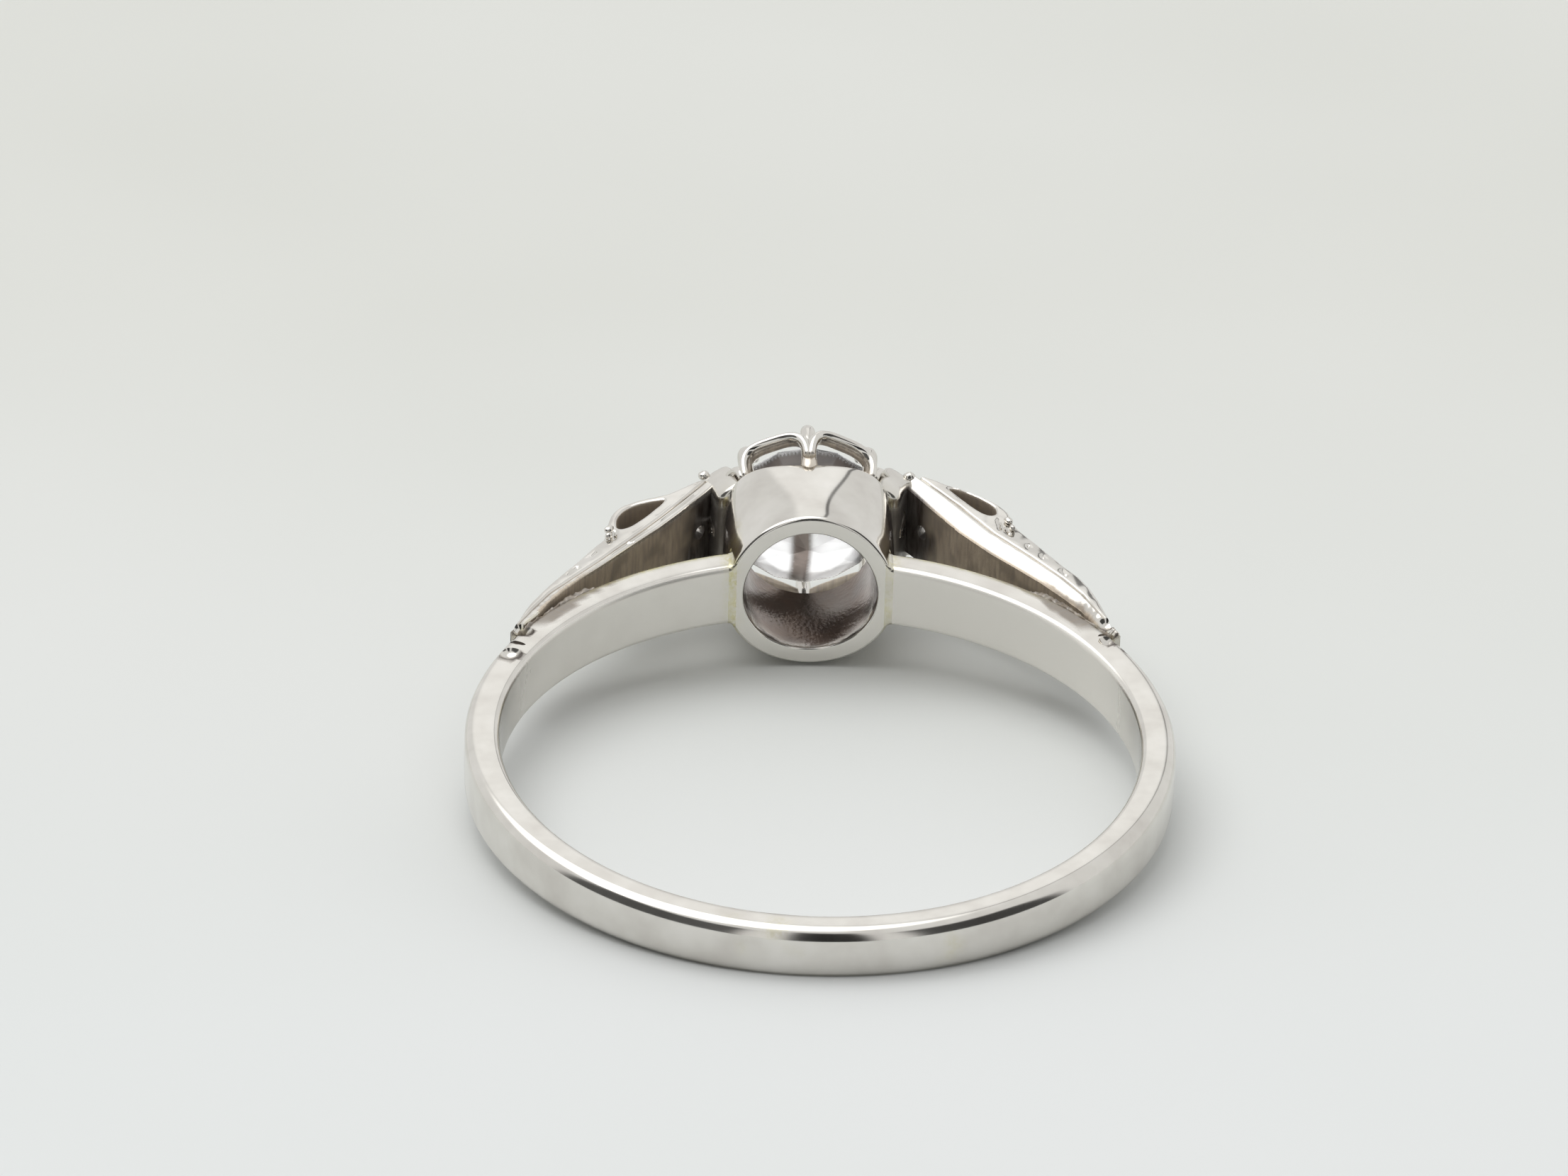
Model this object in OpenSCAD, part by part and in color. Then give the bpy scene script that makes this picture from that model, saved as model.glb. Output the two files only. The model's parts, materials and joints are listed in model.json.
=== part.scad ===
// Solitaire engagement ring with an open collet, a claw-and-arch crown and scroll shoulders.
// The origin is the centre of the finger bore, +Z runs along the finger and +Y points to the head.

/* [Finger] */
// Inside diameter of the ring
inner_d = 17.0; // [14:0.1:22]

/* [Shank] */
// Thickness of the band
band_t = 0.92; // [0.75:0.01:1.4]
// Width of the band at the back
back_w = 1.5; // [1.2:0.05:2.4]
// Width of the band at the head
head_w = 1.9; // [1.5:0.05:2.6]
// Radius of the gouge cut into each edge where a shoulder starts
gouge_r = 0.24; // [0.1:0.01:0.35]

/* [Collet] */
// Diameter of the light hole through the collet
collet_bore_d = 3.68; // [2.8:0.02:4.4]
// Wall of the collet at the finger end
collet_wall = 0.51; // [0.4:0.01:0.8]
// Height of the collet's upper edge above the finger
collet_h = 2.95; // [2.2:0.05:4]
// How far the collet's four upper corners stand out from its flat sides
corner_out = 0.34; // [0:0.01:0.5]
// Depth of the flat that each rail butts against
flat_depth = 0.31; // [0.22:0.01:0.36]
// Thickness of the solder between a rail and the collet
seam_t = 0.22; // [0.1:0.01:0.3]

/* [Centre stone] */
// Diameter of the centre stone
stone_d = 4.35; // [3.6:0.05:5.4]
// Height of the stone's girdle above the collet's upper edge
girdle_lift = 1.15; // [0.9:0.05:1.6]
// Thickness of the girdle
girdle_t = 0.08; // [0.04:0.01:0.15]
// Angle of the main crown facets
crown_a = 34; // [30:0.5:38]
// Angle of the main pavilion facets
pavilion_a = 40.5; // [38:0.5:43]
// Width of the table as a share of the stone's diameter
table_share = 0.57; // [0.5:0.01:0.65]
// Clearance between a stone and the metal that holds it
seat_gap = 0.01; // [0.005:0.005:0.03]

/* [Crown] */
// Thickness of a claw
claw_d = 0.58; // [0.4:0.02:0.7]
// How far the claws reach above the girdle
claw_rise = 0.54; // [0.4:0.02:0.8]
// How far each claw tip bends in over the stone
claw_reach = 0.36; // [0.2:0.02:0.5]
// Thickness of the wire in the arches
arch_wire_d = 0.3; // [0.2:0.02:0.4]
// Outward lean of the arches
arch_lean = 22; // [0:1:35]
// Height of the arches' feet above the collet's upper edge
arch_foot = 0.3; // [0.16:0.02:0.5]

/* [Shoulders] */
// Width of the shoulders where they meet the crown
crown_w = 2.5; // [2.2:0.05:3.2]
// Height above the finger at which a shoulder's underside leaves the crown
arm_rise = 3.75; // [3.4:0.05:5]
// Height above the finger of the shoulder's end at the crown
end_rise = 4.5; // [4.2:0.05:5.4]
// Angle above the X axis where the window between arm and rail closes
merge_a = 46; // [42:0.5:52]
// Angle above the X axis where the shoulder's tail ends
tail_a = 30.4; // [24:0.2:36]
// Thickness of the inner arm
arm_t = 0.46; // [0.35:0.01:0.6]
// Height of the scroll's crest above the arm's underside
crest_h = 1.62; // [1.4:0.02:2]
// Height of the shoulder behind the scroll
back_h = 1.18; // [1:0.02:1.6]
// Length of the pierced opening in the scroll
eye_len = 1.85; // [1.2:0.05:2.2]
// Height of the pierced opening
eye_h = 0.6; // [0.3:0.02:0.7]
// Difference in height between the two hand-made shoulders
hand_skew = 0.14; // [0:0.02:0.25]

/* [Side stones] */
// Diameter of the small stone in each shoulder
side_stone_d = 1.1; // [0.8:0.05:1.3]
// Diameter of the hole drilled through behind it
azure_d = 0.4; // [0.2:0.02:0.5]
// Distance of the small stone from the arm's upper end
side_stone_s = 0.42; // [0.3:0.02:0.6]

/* [Hidden] */
claw_count = 8;
$fn = 96;

white_gold = [0.80, 0.78, 0.75];
solder = [0.76, 0.75, 0.60];
diamond = [0.93, 0.95, 0.97];

inner_r = inner_d / 2;
outer_r = inner_r + band_t;
far = 4 * inner_d;
claw_step = 360 / claw_count;

collet_r = collet_bore_d / 2 + collet_wall;
collet_top = inner_r + collet_h;
flat_x = collet_r - flat_depth;
rail_end_x = flat_x + seam_t;

claw_r = claw_d / 2;
stone_r = stone_d / 2;
girdle_y = collet_top + girdle_lift;
claw_notch = 0.045;
claw_circle_r = stone_r + claw_r - claw_notch;
claw_tip_y = girdle_y + claw_rise;
crown_side_x = claw_circle_r + claw_r;
collet_top_r = claw_circle_r - 0.14 * claw_d;
collet_waist = inner_r + 0.45 * collet_h;
arch_r = claw_circle_r * sin(claw_step / 2);
arch_y = collet_top + arch_foot;

crown_seam = 0.06;
arm_head = [crown_side_x + crown_seam, inner_r + arm_rise];
arm_foot = outer_r * [cos(merge_a), sin(merge_a)];
tail_tip = outer_r * [cos(tail_a), sin(tail_a)];
arm_vec = arm_foot - arm_head;
arm_a = atan2(arm_vec.y, arm_vec.x);
arm_dir = [cos(arm_a), sin(arm_a)];
arm_foot_s = norm(arm_vec);
arm_len = (tail_tip - arm_head) * arm_dir;

plate_rim = 0.26;
loop_end_s = 3.05;

// Heights along one shoulder; side is 1 on the right and -1 on the left.
function skew(side) = side * hand_skew;
function crest(side) = crest_h + skew(side);
function eye_start(side) = 0.92 - 1.1 * skew(side);
function eye_floor(side) = crest(side) - eye_h - plate_rim;

// Points along a Bezier curve, without its first point where the curve before it ends there.
function bezier(a, b, c, d, steps, first = 0) = [
    for (i = [first : steps])
        let (t = i / steps, u = 1 - t)
            u * u * u * a + 3 * u * u * t * b + 3 * u * t * t * c + t * t * t * d
];

// Head parts are drawn round the Z axis, with heights counted from the finger's axis.
module on_head() {
    rotate([-90, 0, 0]) children();
}

module at_claw(i) {
    rotate([0, 0, claw_step * (i - 1)]) children();
}

module half(side) {
    mirror([side > 0 ? 0 : 1, 0, 0]) children();
}

// Shank

// The band tapers from the head to the back, so its side faces are two planes.
module taper_slab() {
    reach = outer_r + 1;
    slope = (head_w - back_w) / (4 * outer_r);
    middle = (head_w + back_w) / 4;
    low = middle - slope * reach;
    high = middle + slope * reach;
    rotate([90, 0, 90])
        linear_extrude(height = far, center = true)
            polygon([[-reach, -low], [reach, -high], [reach, high], [-reach, low]]);
}

module band_blank() {
    intersection() {
        difference() {
            cylinder(r = outer_r, h = 3 * head_w, center = true, $fn = 180);
            cylinder(r = inner_r, h = 4 * head_w, center = true, $fn = 180);
        }
        taper_slab();
    }
}

module shank() {
    color(white_gold) difference() {
        band_blank();
        translate([-rail_end_x, 0, -far / 2]) cube([2 * rail_end_x, far, far]);
        for (side = [1, -1], face = [1, -1]) half(side) gouge(face);
    }
}

// A round graver cut across the outer edge, just below the shoulder's tail.
module gouge(face) {
    angle = tail_a - 2.8;
    rotate([0, 0, angle]) translate([outer_r, 0, face * head_w / 2]) rotate([0, 90, 0])
        sphere(r = gouge_r, $fn = 32);
}

module rail_solder(side) {
    color(solder) half(side) intersection() {
        band_blank();
        translate([flat_x, 0, -far / 2]) cube([seam_t, far, far]);
    }
}

// Collet

module collet_top_outline() {
    intersection() {
        square(2 * collet_top_r, center = true);
        circle(r = collet_top_r + corner_out, $fn = 32);
    }
}

module collet() {
    slice = 0.02;
    ledge = 0.02;
    color(white_gold) on_head() difference() {
        union() {
            cylinder(r = collet_r, h = collet_waist);
            hull() {
                translate([0, 0, collet_waist - slice]) cylinder(r = collet_r - ledge, h = slice, $fn = 64);
                translate([0, 0, collet_top - slice]) linear_extrude(slice) collet_top_outline();
            }
        }
        cylinder(d = collet_bore_d, h = far);
        rotate([90, 0, 0]) cylinder(r = inner_r, h = far, center = true, $fn = 180);
        for (side = [0, 180]) rotate([0, 0, side])
            translate([flat_x, -head_w / 2, 0]) cube([far, head_w, outer_r]);
    }
}

// Stones

// A thin level outline of count corners, used as one ring of a stone's corners.
module corner_ring(z, r, count, turn) {
    points = [for (k = [0 : count - 1]) let (a = 360 * k / count + turn) r * [cos(a), sin(a)]];
    thin = 0.002;
    translate([0, 0, z - thin / 2]) linear_extrude(thin) polygon(points);
}

// The stone's girdle plane is at z = 0, and its widest corners lie on a circle of diameter d.
module brilliant(d, girdle, table, crown, pavilion) {
    r = d / 2;
    top = girdle / 2 + (r - table / 2) * tan(crown);
    depth = girdle / 2 + r * tan(pavilion);
    hull() {
        corner_ring(top, table / 2, 8, 22.5);
        corner_ring(girdle / 2 + 0.6 * (top - girdle / 2), 0.62 * r + 0.19 * table, 8, 0);
        corner_ring(girdle / 2, r, 16, 0);
        corner_ring(-girdle / 2, r, 16, 0);
        corner_ring(-depth + 0.75 * r * tan(pavilion), 0.765 * r, 8, 0);
        corner_ring(-depth, 0.02 * r, 8, 0);
    }
}

module centre_stone() {
    color(diamond) on_head() translate([0, 0, girdle_y])
        rotate([0, 0, claw_step / 2])
            brilliant(stone_d, girdle_t, table_share * stone_d, crown_a, pavilion_a);
}

// The space that a round stone needs, with its clearance, and open upwards to at least rise.
module stone_space(d, girdle, crown, pavilion, rise) {
    r = d / 2 + seat_gap;
    edge = girdle / 2 + seat_gap;
    rotate_extrude() polygon([
        [0, -edge - r * tan(pavilion)], [r, -edge],
        [r, edge + rise], [0, edge + rise + r * tan(crown)]
    ]);
}

// Crown

module claw_leg() {
    translate([claw_circle_r, 0, collet_top]) cylinder(r = claw_r, h = claw_tip_y - collet_top, $fn = 40);
}

module claw(i) {
    tip_r = 0.8 * claw_r;
    color(white_gold) on_head() at_claw(i) difference() {
        union() {
            claw_leg();
            translate([claw_circle_r, 0, claw_tip_y]) sphere(r = claw_r, $fn = 40);
            translate([claw_circle_r, 0, claw_tip_y]) rotate([0, -100, 0])
                cylinder(r = tip_r, h = claw_reach, $fn = 40);
            translate([claw_circle_r, 0, claw_tip_y]) rotate([0, -100, 0])
                translate([0, 0, claw_reach]) sphere(r = tip_r, $fn = 40);
        }
        translate([0, 0, girdle_y]) stone_space(stone_d, girdle_t, crown_a, pavilion_a, 0);
    }
}

// The half hoop of wire between claw i and the next one.
module arch_hoop(i) {
    at_claw(i) rotate([0, 0, claw_step / 2])
        translate([claw_circle_r * cos(claw_step / 2), 0, arch_y])
            rotate([0, arch_lean, 0]) rotate([90, 0, 90]) rotate_extrude(angle = 180, $fn = 64)
                translate([arch_r, 0]) circle(d = arch_wire_d, $fn = 32);
}

module gallery_arch(i) {
    color(white_gold) on_head() difference() {
        arch_hoop(i);
        at_claw(i) claw_leg();
        at_claw(i + 1) claw_leg();
    }
}

// A pad between the arm's end and the side claw, with a bead at each corner of the arm.
module crown_solder(side) {
    bead_r = 0.16;
    pad_h = 0.36;
    pad_rise = 0.05;
    color(solder) half(side) difference() {
        union() {
            translate([crown_side_x - claw_r, arm_head.y + pad_rise, -claw_r])
                cube([claw_r + crown_seam, pad_h, claw_d]);
            for (face = [1, -1])
                translate([arm_head.x - bead_r, arm_head.y + pad_h / 2, face * (crown_w / 2 - bead_r)])
                    sphere(r = bead_r, $fn = 32);
        }
        on_head() at_claw(1) claw_leg();
        for (i = [1, claw_count]) on_head() arch_hoop(i);
    }
}

// Shoulders

// Places children in a shoulder's own frame: X down the arm, Y outwards from its underside.
module on_arm() {
    translate(arm_head) rotate([0, 0, arm_a]) children();
}

// Gives a flat outline its thickness: even along the tail, then widening towards the crown.
module shoulder_blank() {
    low = head_w / 2;
    slope = (crown_w - head_w) / 2 / (arm_head.y - arm_foot.y);
    high = low + slope * (far - arm_foot.y);
    intersection() {
        linear_extrude(height = 2 * crown_w, center = true) children();
        rotate([90, 0, 90]) linear_extrude(height = far, center = true) polygon([
            [0, -low], [arm_foot.y, -low], [far, -high],
            [far, high], [arm_foot.y, low], [0, low]
        ]);
    }
}

// What a shoulder may fill: outside the band and clear of the crown.
module shoulder_limits() {
    difference() {
        translate([arm_head.x, 0]) square([far, inner_r + end_rise]);
        circle(r = outer_r, $fn = 180);
    }
}

module arm_outline() {
    lead = 1.5;
    intersection() {
        shoulder_limits();
        on_arm() translate([-lead, 0]) square([lead + arm_len, arm_t]);
    }
}

// The scroll's curve from the crown, over its crest and down to the shoulder behind it.
function scroll_edge(side) = bezier(
    [-0.6, arm_t + 0.1],
    [0.9, crest(side) - 0.3],
    [2.3, crest(side) + 0.42],
    [loop_end_s, back_h + skew(side)],
    12
);

function tail_edge(side) = bezier(
    [loop_end_s, back_h + skew(side)],
    [loop_end_s + 1.8, back_h + skew(side) - 0.02],
    [arm_len - 2.1, back_h + skew(side) + 0.08],
    [arm_len, arm_t + 0.04],
    12, 1
);

module plate_outline(side) {
    intersection() {
        shoulder_limits();
        on_arm() difference() {
            polygon(concat([[-0.6, arm_t]], scroll_edge(side), tail_edge(side), [[arm_len, arm_t]]));
            eye_outline(side);
        }
    }
}

// The leaf-shaped opening has a nearly flat floor, and its roof follows the scroll's curve.
module eye_outline(side) {
    tip = [eye_start(side), eye_floor(side)];
    heel = tip + [eye_len, 0.05];
    polygon(bezier(tip, tip + [0.5, 0.5 * eye_h], heel + [-0.3, 1.55 * eye_h], heel, 14));
}

// The small stone faces outwards, square to the scroll's rising edge.
module side_stone_place(side) {
    lean = 26;
    sink = 0.83;
    translate([side_stone_s, crest(side) - sink, 0]) rotate([0, 0, lean]) rotate([-90, 0, 0])
        children();
}

module azure_hole(side) {
    depth = crest_h + hand_skew;
    on_arm() side_stone_place(side) translate([0, 0, -depth])
        cylinder(d = azure_d, h = depth, $fn = 32);
}

// Everything drilled for a side stone: its seat, and the hole that lets light in below it.
module stone_seat(side) {
    azure_hole(side);
    on_arm() side_stone_place(side)
        stone_space(side_stone_d, girdle_t / 2, crown_a, pavilion_a, 0.5);
}

module shoulder_arm(side) {
    color(white_gold) half(side) difference() {
        shoulder_blank() arm_outline();
        stone_seat(side);
    }
}

module scroll_plate(side) {
    color(white_gold) half(side) difference() {
        shoulder_blank() plate_outline(side);
        stone_seat(side);
    }
}

module side_stone(side) {
    table = 0.6;
    color(diamond) half(side) on_arm() side_stone_place(side)
        brilliant(side_stone_d, girdle_t / 2, table * side_stone_d, crown_a, pavilion_a);
}

// Solder that runs into the corner where the arm closes on the rail.
module shoulder_solder(side) {
    run = 0.9;
    drop = 0.45;
    color(solder) half(side) linear_extrude(height = 0.9 * head_w, center = true) intersection() {
        shoulder_limits();
        on_arm() translate([arm_foot_s, 0])
            polygon([[-run, 0], [-0.55 * run, -drop], [drop, -drop], [drop, 0]]);
    }
}

shank();
collet();
centre_stone();
for (i = [1 : claw_count]) claw(i);
for (i = [1 : claw_count]) gallery_arch(i);
shoulder_arm(1);  // shoulder_arm_right
shoulder_arm(-1);  // shoulder_arm_left
scroll_plate(1);  // scroll_plate_right
scroll_plate(-1);  // scroll_plate_left
side_stone(1);  // side_stone_right
side_stone(-1);  // side_stone_left
rail_solder(1);  // rail_solder_right
rail_solder(-1);  // rail_solder_left
crown_solder(1);  // crown_solder_right
crown_solder(-1);  // crown_solder_left
shoulder_solder(1);  // shoulder_solder_right
shoulder_solder(-1);  // shoulder_solder_left
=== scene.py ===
import json
import math

import bmesh
import bpy
import numpy as np
from mathutils import Matrix, Vector, noise
from mathutils.geometry import delaunay_2d_cdt

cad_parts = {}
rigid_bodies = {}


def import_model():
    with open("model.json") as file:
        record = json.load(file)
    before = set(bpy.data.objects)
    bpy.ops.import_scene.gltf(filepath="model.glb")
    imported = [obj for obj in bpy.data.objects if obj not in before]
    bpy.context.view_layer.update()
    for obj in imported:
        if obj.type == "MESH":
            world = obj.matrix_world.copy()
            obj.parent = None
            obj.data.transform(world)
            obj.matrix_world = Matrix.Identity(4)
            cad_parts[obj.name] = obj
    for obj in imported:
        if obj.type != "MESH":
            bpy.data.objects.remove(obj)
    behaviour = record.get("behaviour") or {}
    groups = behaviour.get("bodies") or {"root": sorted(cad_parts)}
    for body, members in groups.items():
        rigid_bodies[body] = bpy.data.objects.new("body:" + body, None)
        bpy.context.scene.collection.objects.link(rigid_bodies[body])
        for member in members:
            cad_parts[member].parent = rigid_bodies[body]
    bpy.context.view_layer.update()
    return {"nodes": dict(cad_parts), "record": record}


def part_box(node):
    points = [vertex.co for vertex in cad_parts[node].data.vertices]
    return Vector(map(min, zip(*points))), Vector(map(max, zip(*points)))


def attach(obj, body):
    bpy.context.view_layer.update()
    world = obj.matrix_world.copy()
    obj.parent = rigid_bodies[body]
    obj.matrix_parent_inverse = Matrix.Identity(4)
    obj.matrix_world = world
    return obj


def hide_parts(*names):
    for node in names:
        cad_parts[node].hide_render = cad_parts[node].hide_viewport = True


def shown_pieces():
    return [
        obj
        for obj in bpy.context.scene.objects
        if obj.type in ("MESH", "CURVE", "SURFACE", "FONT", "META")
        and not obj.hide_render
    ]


# An antique style white gold solitaire, seen lying on its side from behind the shank.
# Sizes in the dictionaries are millimetres, angles are degrees.

mm = 0.001
weldGap = 0.0005   # points closer than this become one
sides = {"right": 1, "left": -1}

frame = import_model()
print("frame loaded:", len(frame["nodes"]), "nodes")


def cadBox(node):
    low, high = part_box(node)
    return np.array(low) / mm, np.array(high) / mm


def polar(radius, angle):
    return radius * math.cos(math.radians(angle)), radius * math.sin(math.radians(angle))


def lerpTable(table, x):
    xs, ys = zip(*table)
    return np.interp(x, xs, ys)


def smooth(low, high, x):
    t = np.clip((np.asarray(x, float) - low) / (high - low), 0, 1)
    return t * t * (3 - 2 * t)


def fade(low, high, x):
    return 1 - smooth(low, high, x)


def lumps(points, size, seed=0.0):
    # Soft random values from about -1 to 1, with bumps of the given size
    return np.array([noise.noise(Vector((p[0] / size + seed, p[1] / size - seed, p[2] / size)))
                     for p in points])


roundEnd = [(0.35, 0.94), (0.7, 0.72), (0.95, 0.3)]   # distance past the end and width, in radii


def tube(path, radii, steps, flatten, up):
    # A tube with rounded ends along a path of points, as rings for loft
    turn = np.linspace(0, 2 * math.pi, steps, endpoint=False)[:, None]
    last = len(path) - 1
    rings = []
    side = None
    for i, (point, radius) in enumerate(zip(path, radii)):
        ahead = path[min(i + 1, last)] - path[max(i - 1, 0)]
        ahead /= np.linalg.norm(ahead)
        if side is None:
            side = np.cross(ahead, up)
        side = side - ahead * (side @ ahead)
        side /= np.linalg.norm(side)
        ring = np.cos(turn) * side + np.sin(turn) * np.cross(ahead, side) * flatten
        stops = [(0, 1)]
        if i == 0:
            stops = [(-past, width) for past, width in reversed(roundEnd)] + stops
        if i == last:
            stops = stops + roundEnd
        rings += [point + ahead * radius * past + ring * radius * width for past, width in stops]
    return rings


def loft(rings):
    # Rings of equal length joined into a closed solid
    count, steps = len(rings), len(rings[0])
    faces = []
    for i in range(count - 1):
        for k in range(steps):
            n = (k + 1) % steps
            faces.append((i * steps + k, i * steps + n, (i + 1) * steps + n, (i + 1) * steps + k))
    faces.append(tuple(range(steps))[::-1])
    faces.append(tuple(range((count - 1) * steps, count * steps)))
    return np.concatenate(rings), faces


def joinParts(parts):
    # Several (points, faces) pairs as one
    points, faces, start = [], [], 0
    for p, f in parts:
        points.append(np.asarray(p, float))
        faces += [tuple(i + start for i in face) for face in f]
        start += len(p)
    return np.concatenate(points), faces


def takeMesh(mesh):
    # What a bmesh holds, as points and faces
    mesh.verts.index_update()
    points = np.array([v.co[:] for v in mesh.verts])
    faces = [tuple(v.index for v in f.verts) for f in mesh.faces]
    mesh.free()
    return points, faces


def ball(centre, size, rough=0.0, seed=0.0, detail=3):
    mesh = bmesh.new()
    bmesh.ops.create_icosphere(mesh, subdivisions=detail, radius=1)
    points, faces = takeMesh(mesh)
    points = points * (1 + rough * lumps(points, 0.8, seed))[:, None]
    return points * np.asarray(size, float) + np.asarray(centre, float), faces


def addObject(name, points, faces):
    # A mesh object from millimetre points, with its faces turned outwards
    mesh = bpy.data.meshes.new(name)
    mesh.from_pydata([tuple(p) for p in np.asarray(points) * mm], [], faces)
    mesh.validate()
    shape = bmesh.new()
    shape.from_mesh(mesh)
    bmesh.ops.remove_doubles(shape, verts=shape.verts, dist=weldGap * mm)
    bmesh.ops.recalc_face_normals(shape, faces=shape.faces)
    shape.to_mesh(mesh)
    shape.free()
    added = bpy.data.objects.new(name, mesh)
    bpy.context.scene.collection.objects.link(added)
    return added


def addCutter(name, points, faces):
    cutter = addObject(name, points, faces)
    bpy.context.view_layer.update()
    return cutter


def addPiece(name, points, faces, material, replaced=(), sharp=38, cutters=(), marks=None):
    # cutters are subtracted, and marks paint named values on the mesh for its material to read
    piece = addObject(name, points, faces)
    for cutter in cutters:
        cut = piece.modifiers.new("cut", "BOOLEAN")
        cut.operation = "DIFFERENCE"
        cut.solver = "EXACT"
        cut.object = cutter
    if cutters:
        depsgraph = bpy.context.evaluated_depsgraph_get()
        done = bpy.data.meshes.new_from_object(piece.evaluated_get(depsgraph))
        piece.modifiers.clear()
        piece.data = done
    mesh = piece.data
    places = np.array([v.co[:] for v in mesh.vertices]) / mm
    for label, paint in (marks or {}).items():
        layer = mesh.attributes.new(label, "FLOAT", "POINT")
        layer.data.foreach_set("value", np.clip(paint(places), 0, 1).astype(np.float32))
    mesh.materials.clear()
    mesh.materials.append(material)
    for polygon in mesh.polygons:
        polygon.use_smooth = True
    if sharp < 180:
        mesh.set_sharp_from_angle(angle=math.radians(sharp))
    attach(piece, "root")
    if replaced:
        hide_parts(*replaced)
    return piece


def linear(hexColour):
    values = [int(hexColour[i:i + 2], 16) / 255 for i in (1, 3, 5)]
    return [v / 12.92 if v <= 0.04045 else ((v + 0.055) / 1.055) ** 2.4 for v in values] + [1.0]


def addNode(tree, kind, settings=None, links=None):
    # settings: attribute names or input sockets; links: input socket to (node, output)
    node = tree.nodes.new("ShaderNode" + kind)
    for key, value in (settings or {}).items():
        if isinstance(key, str) and hasattr(node, key):
            setattr(node, key, value)
        else:
            node.inputs[key].default_value = value
    for key, (source, output) in (links or {}).items():
        tree.links.new(source.outputs[output], node.inputs[key])
    return node


def addRamp(tree, source, output, stops):
    ramp = addNode(tree, "ValToRGB", None, {0: (source, output)})
    elements = ramp.color_ramp.elements
    while len(elements) < len(stops):
        elements.new(0.5)
    for element, (place, colour) in zip(elements, stops):
        element.position = place
        element.color = linear(colour) if isinstance(colour, str) else [colour] * 3 + [1]
    return ramp


def startMaterial(name):
    material = bpy.data.materials.new(name)
    material.use_nodes = True
    tree = material.node_tree
    tree.nodes.clear()
    output = addNode(tree, "OutputMaterial")
    shader = addNode(tree, "BsdfPrincipled")
    tree.links.new(shader.outputs[0], output.inputs[0])
    return material, tree, shader


goldLook = {
    # The filed colour is lighter than bare metal, partly satin finish and partly painted light; the darkest
    # colour is painted shade in the grime, and the grime colours are brown residue
    "base": "#DEDBD5", "light": "#E5E2DD", "dark": "#D3CFC9", "satin": "#F0EDE6", "soot": "#3A2D27",
    "grimeDark": "#AE9A86", "grimeMid": "#D0BFA9", "grimeLight": "#E2D4BE",
    "solderDark": "#B9B27C", "solderLight": "#DDD6A0",
    # which texture breaks up the grime: blotches, or else strokes
    "blotchy": False,
    # sizes of blotches, pits and hair scratches, and how much longer the hairs are than wide
    "blotch": 1.1, "pit": 0.12, "hair": 0.11, "hairThin": 0.06,
    # file strokes: scale round the band and along the finger, and their spacing
    "strokeRound": 8.5, "strokeAlong": 0.1, "strokeSpacing": 0.09,
    # strength and height of each relief
    "strokeDepth": 0.3, "strokeHeight": 0.004, "hairDepth": 0.03, "hairHeight": 0.002,
    "pitDepth": 0.5, "pitHeight": 0.02,
    # roughness of bare metal, its spread, and what grime, solder and filing add to it
    "roughness": 0.08, "polishedShare": 0.7, "wornShare": 1.5,
    "grimeRough": 0.3, "solderRough": 0.16, "satinRough": 0.26,
    # how metallic grime and filed metal look
    "grimeMetal": 0.2, "satinMetal": 0.3,
}


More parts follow.
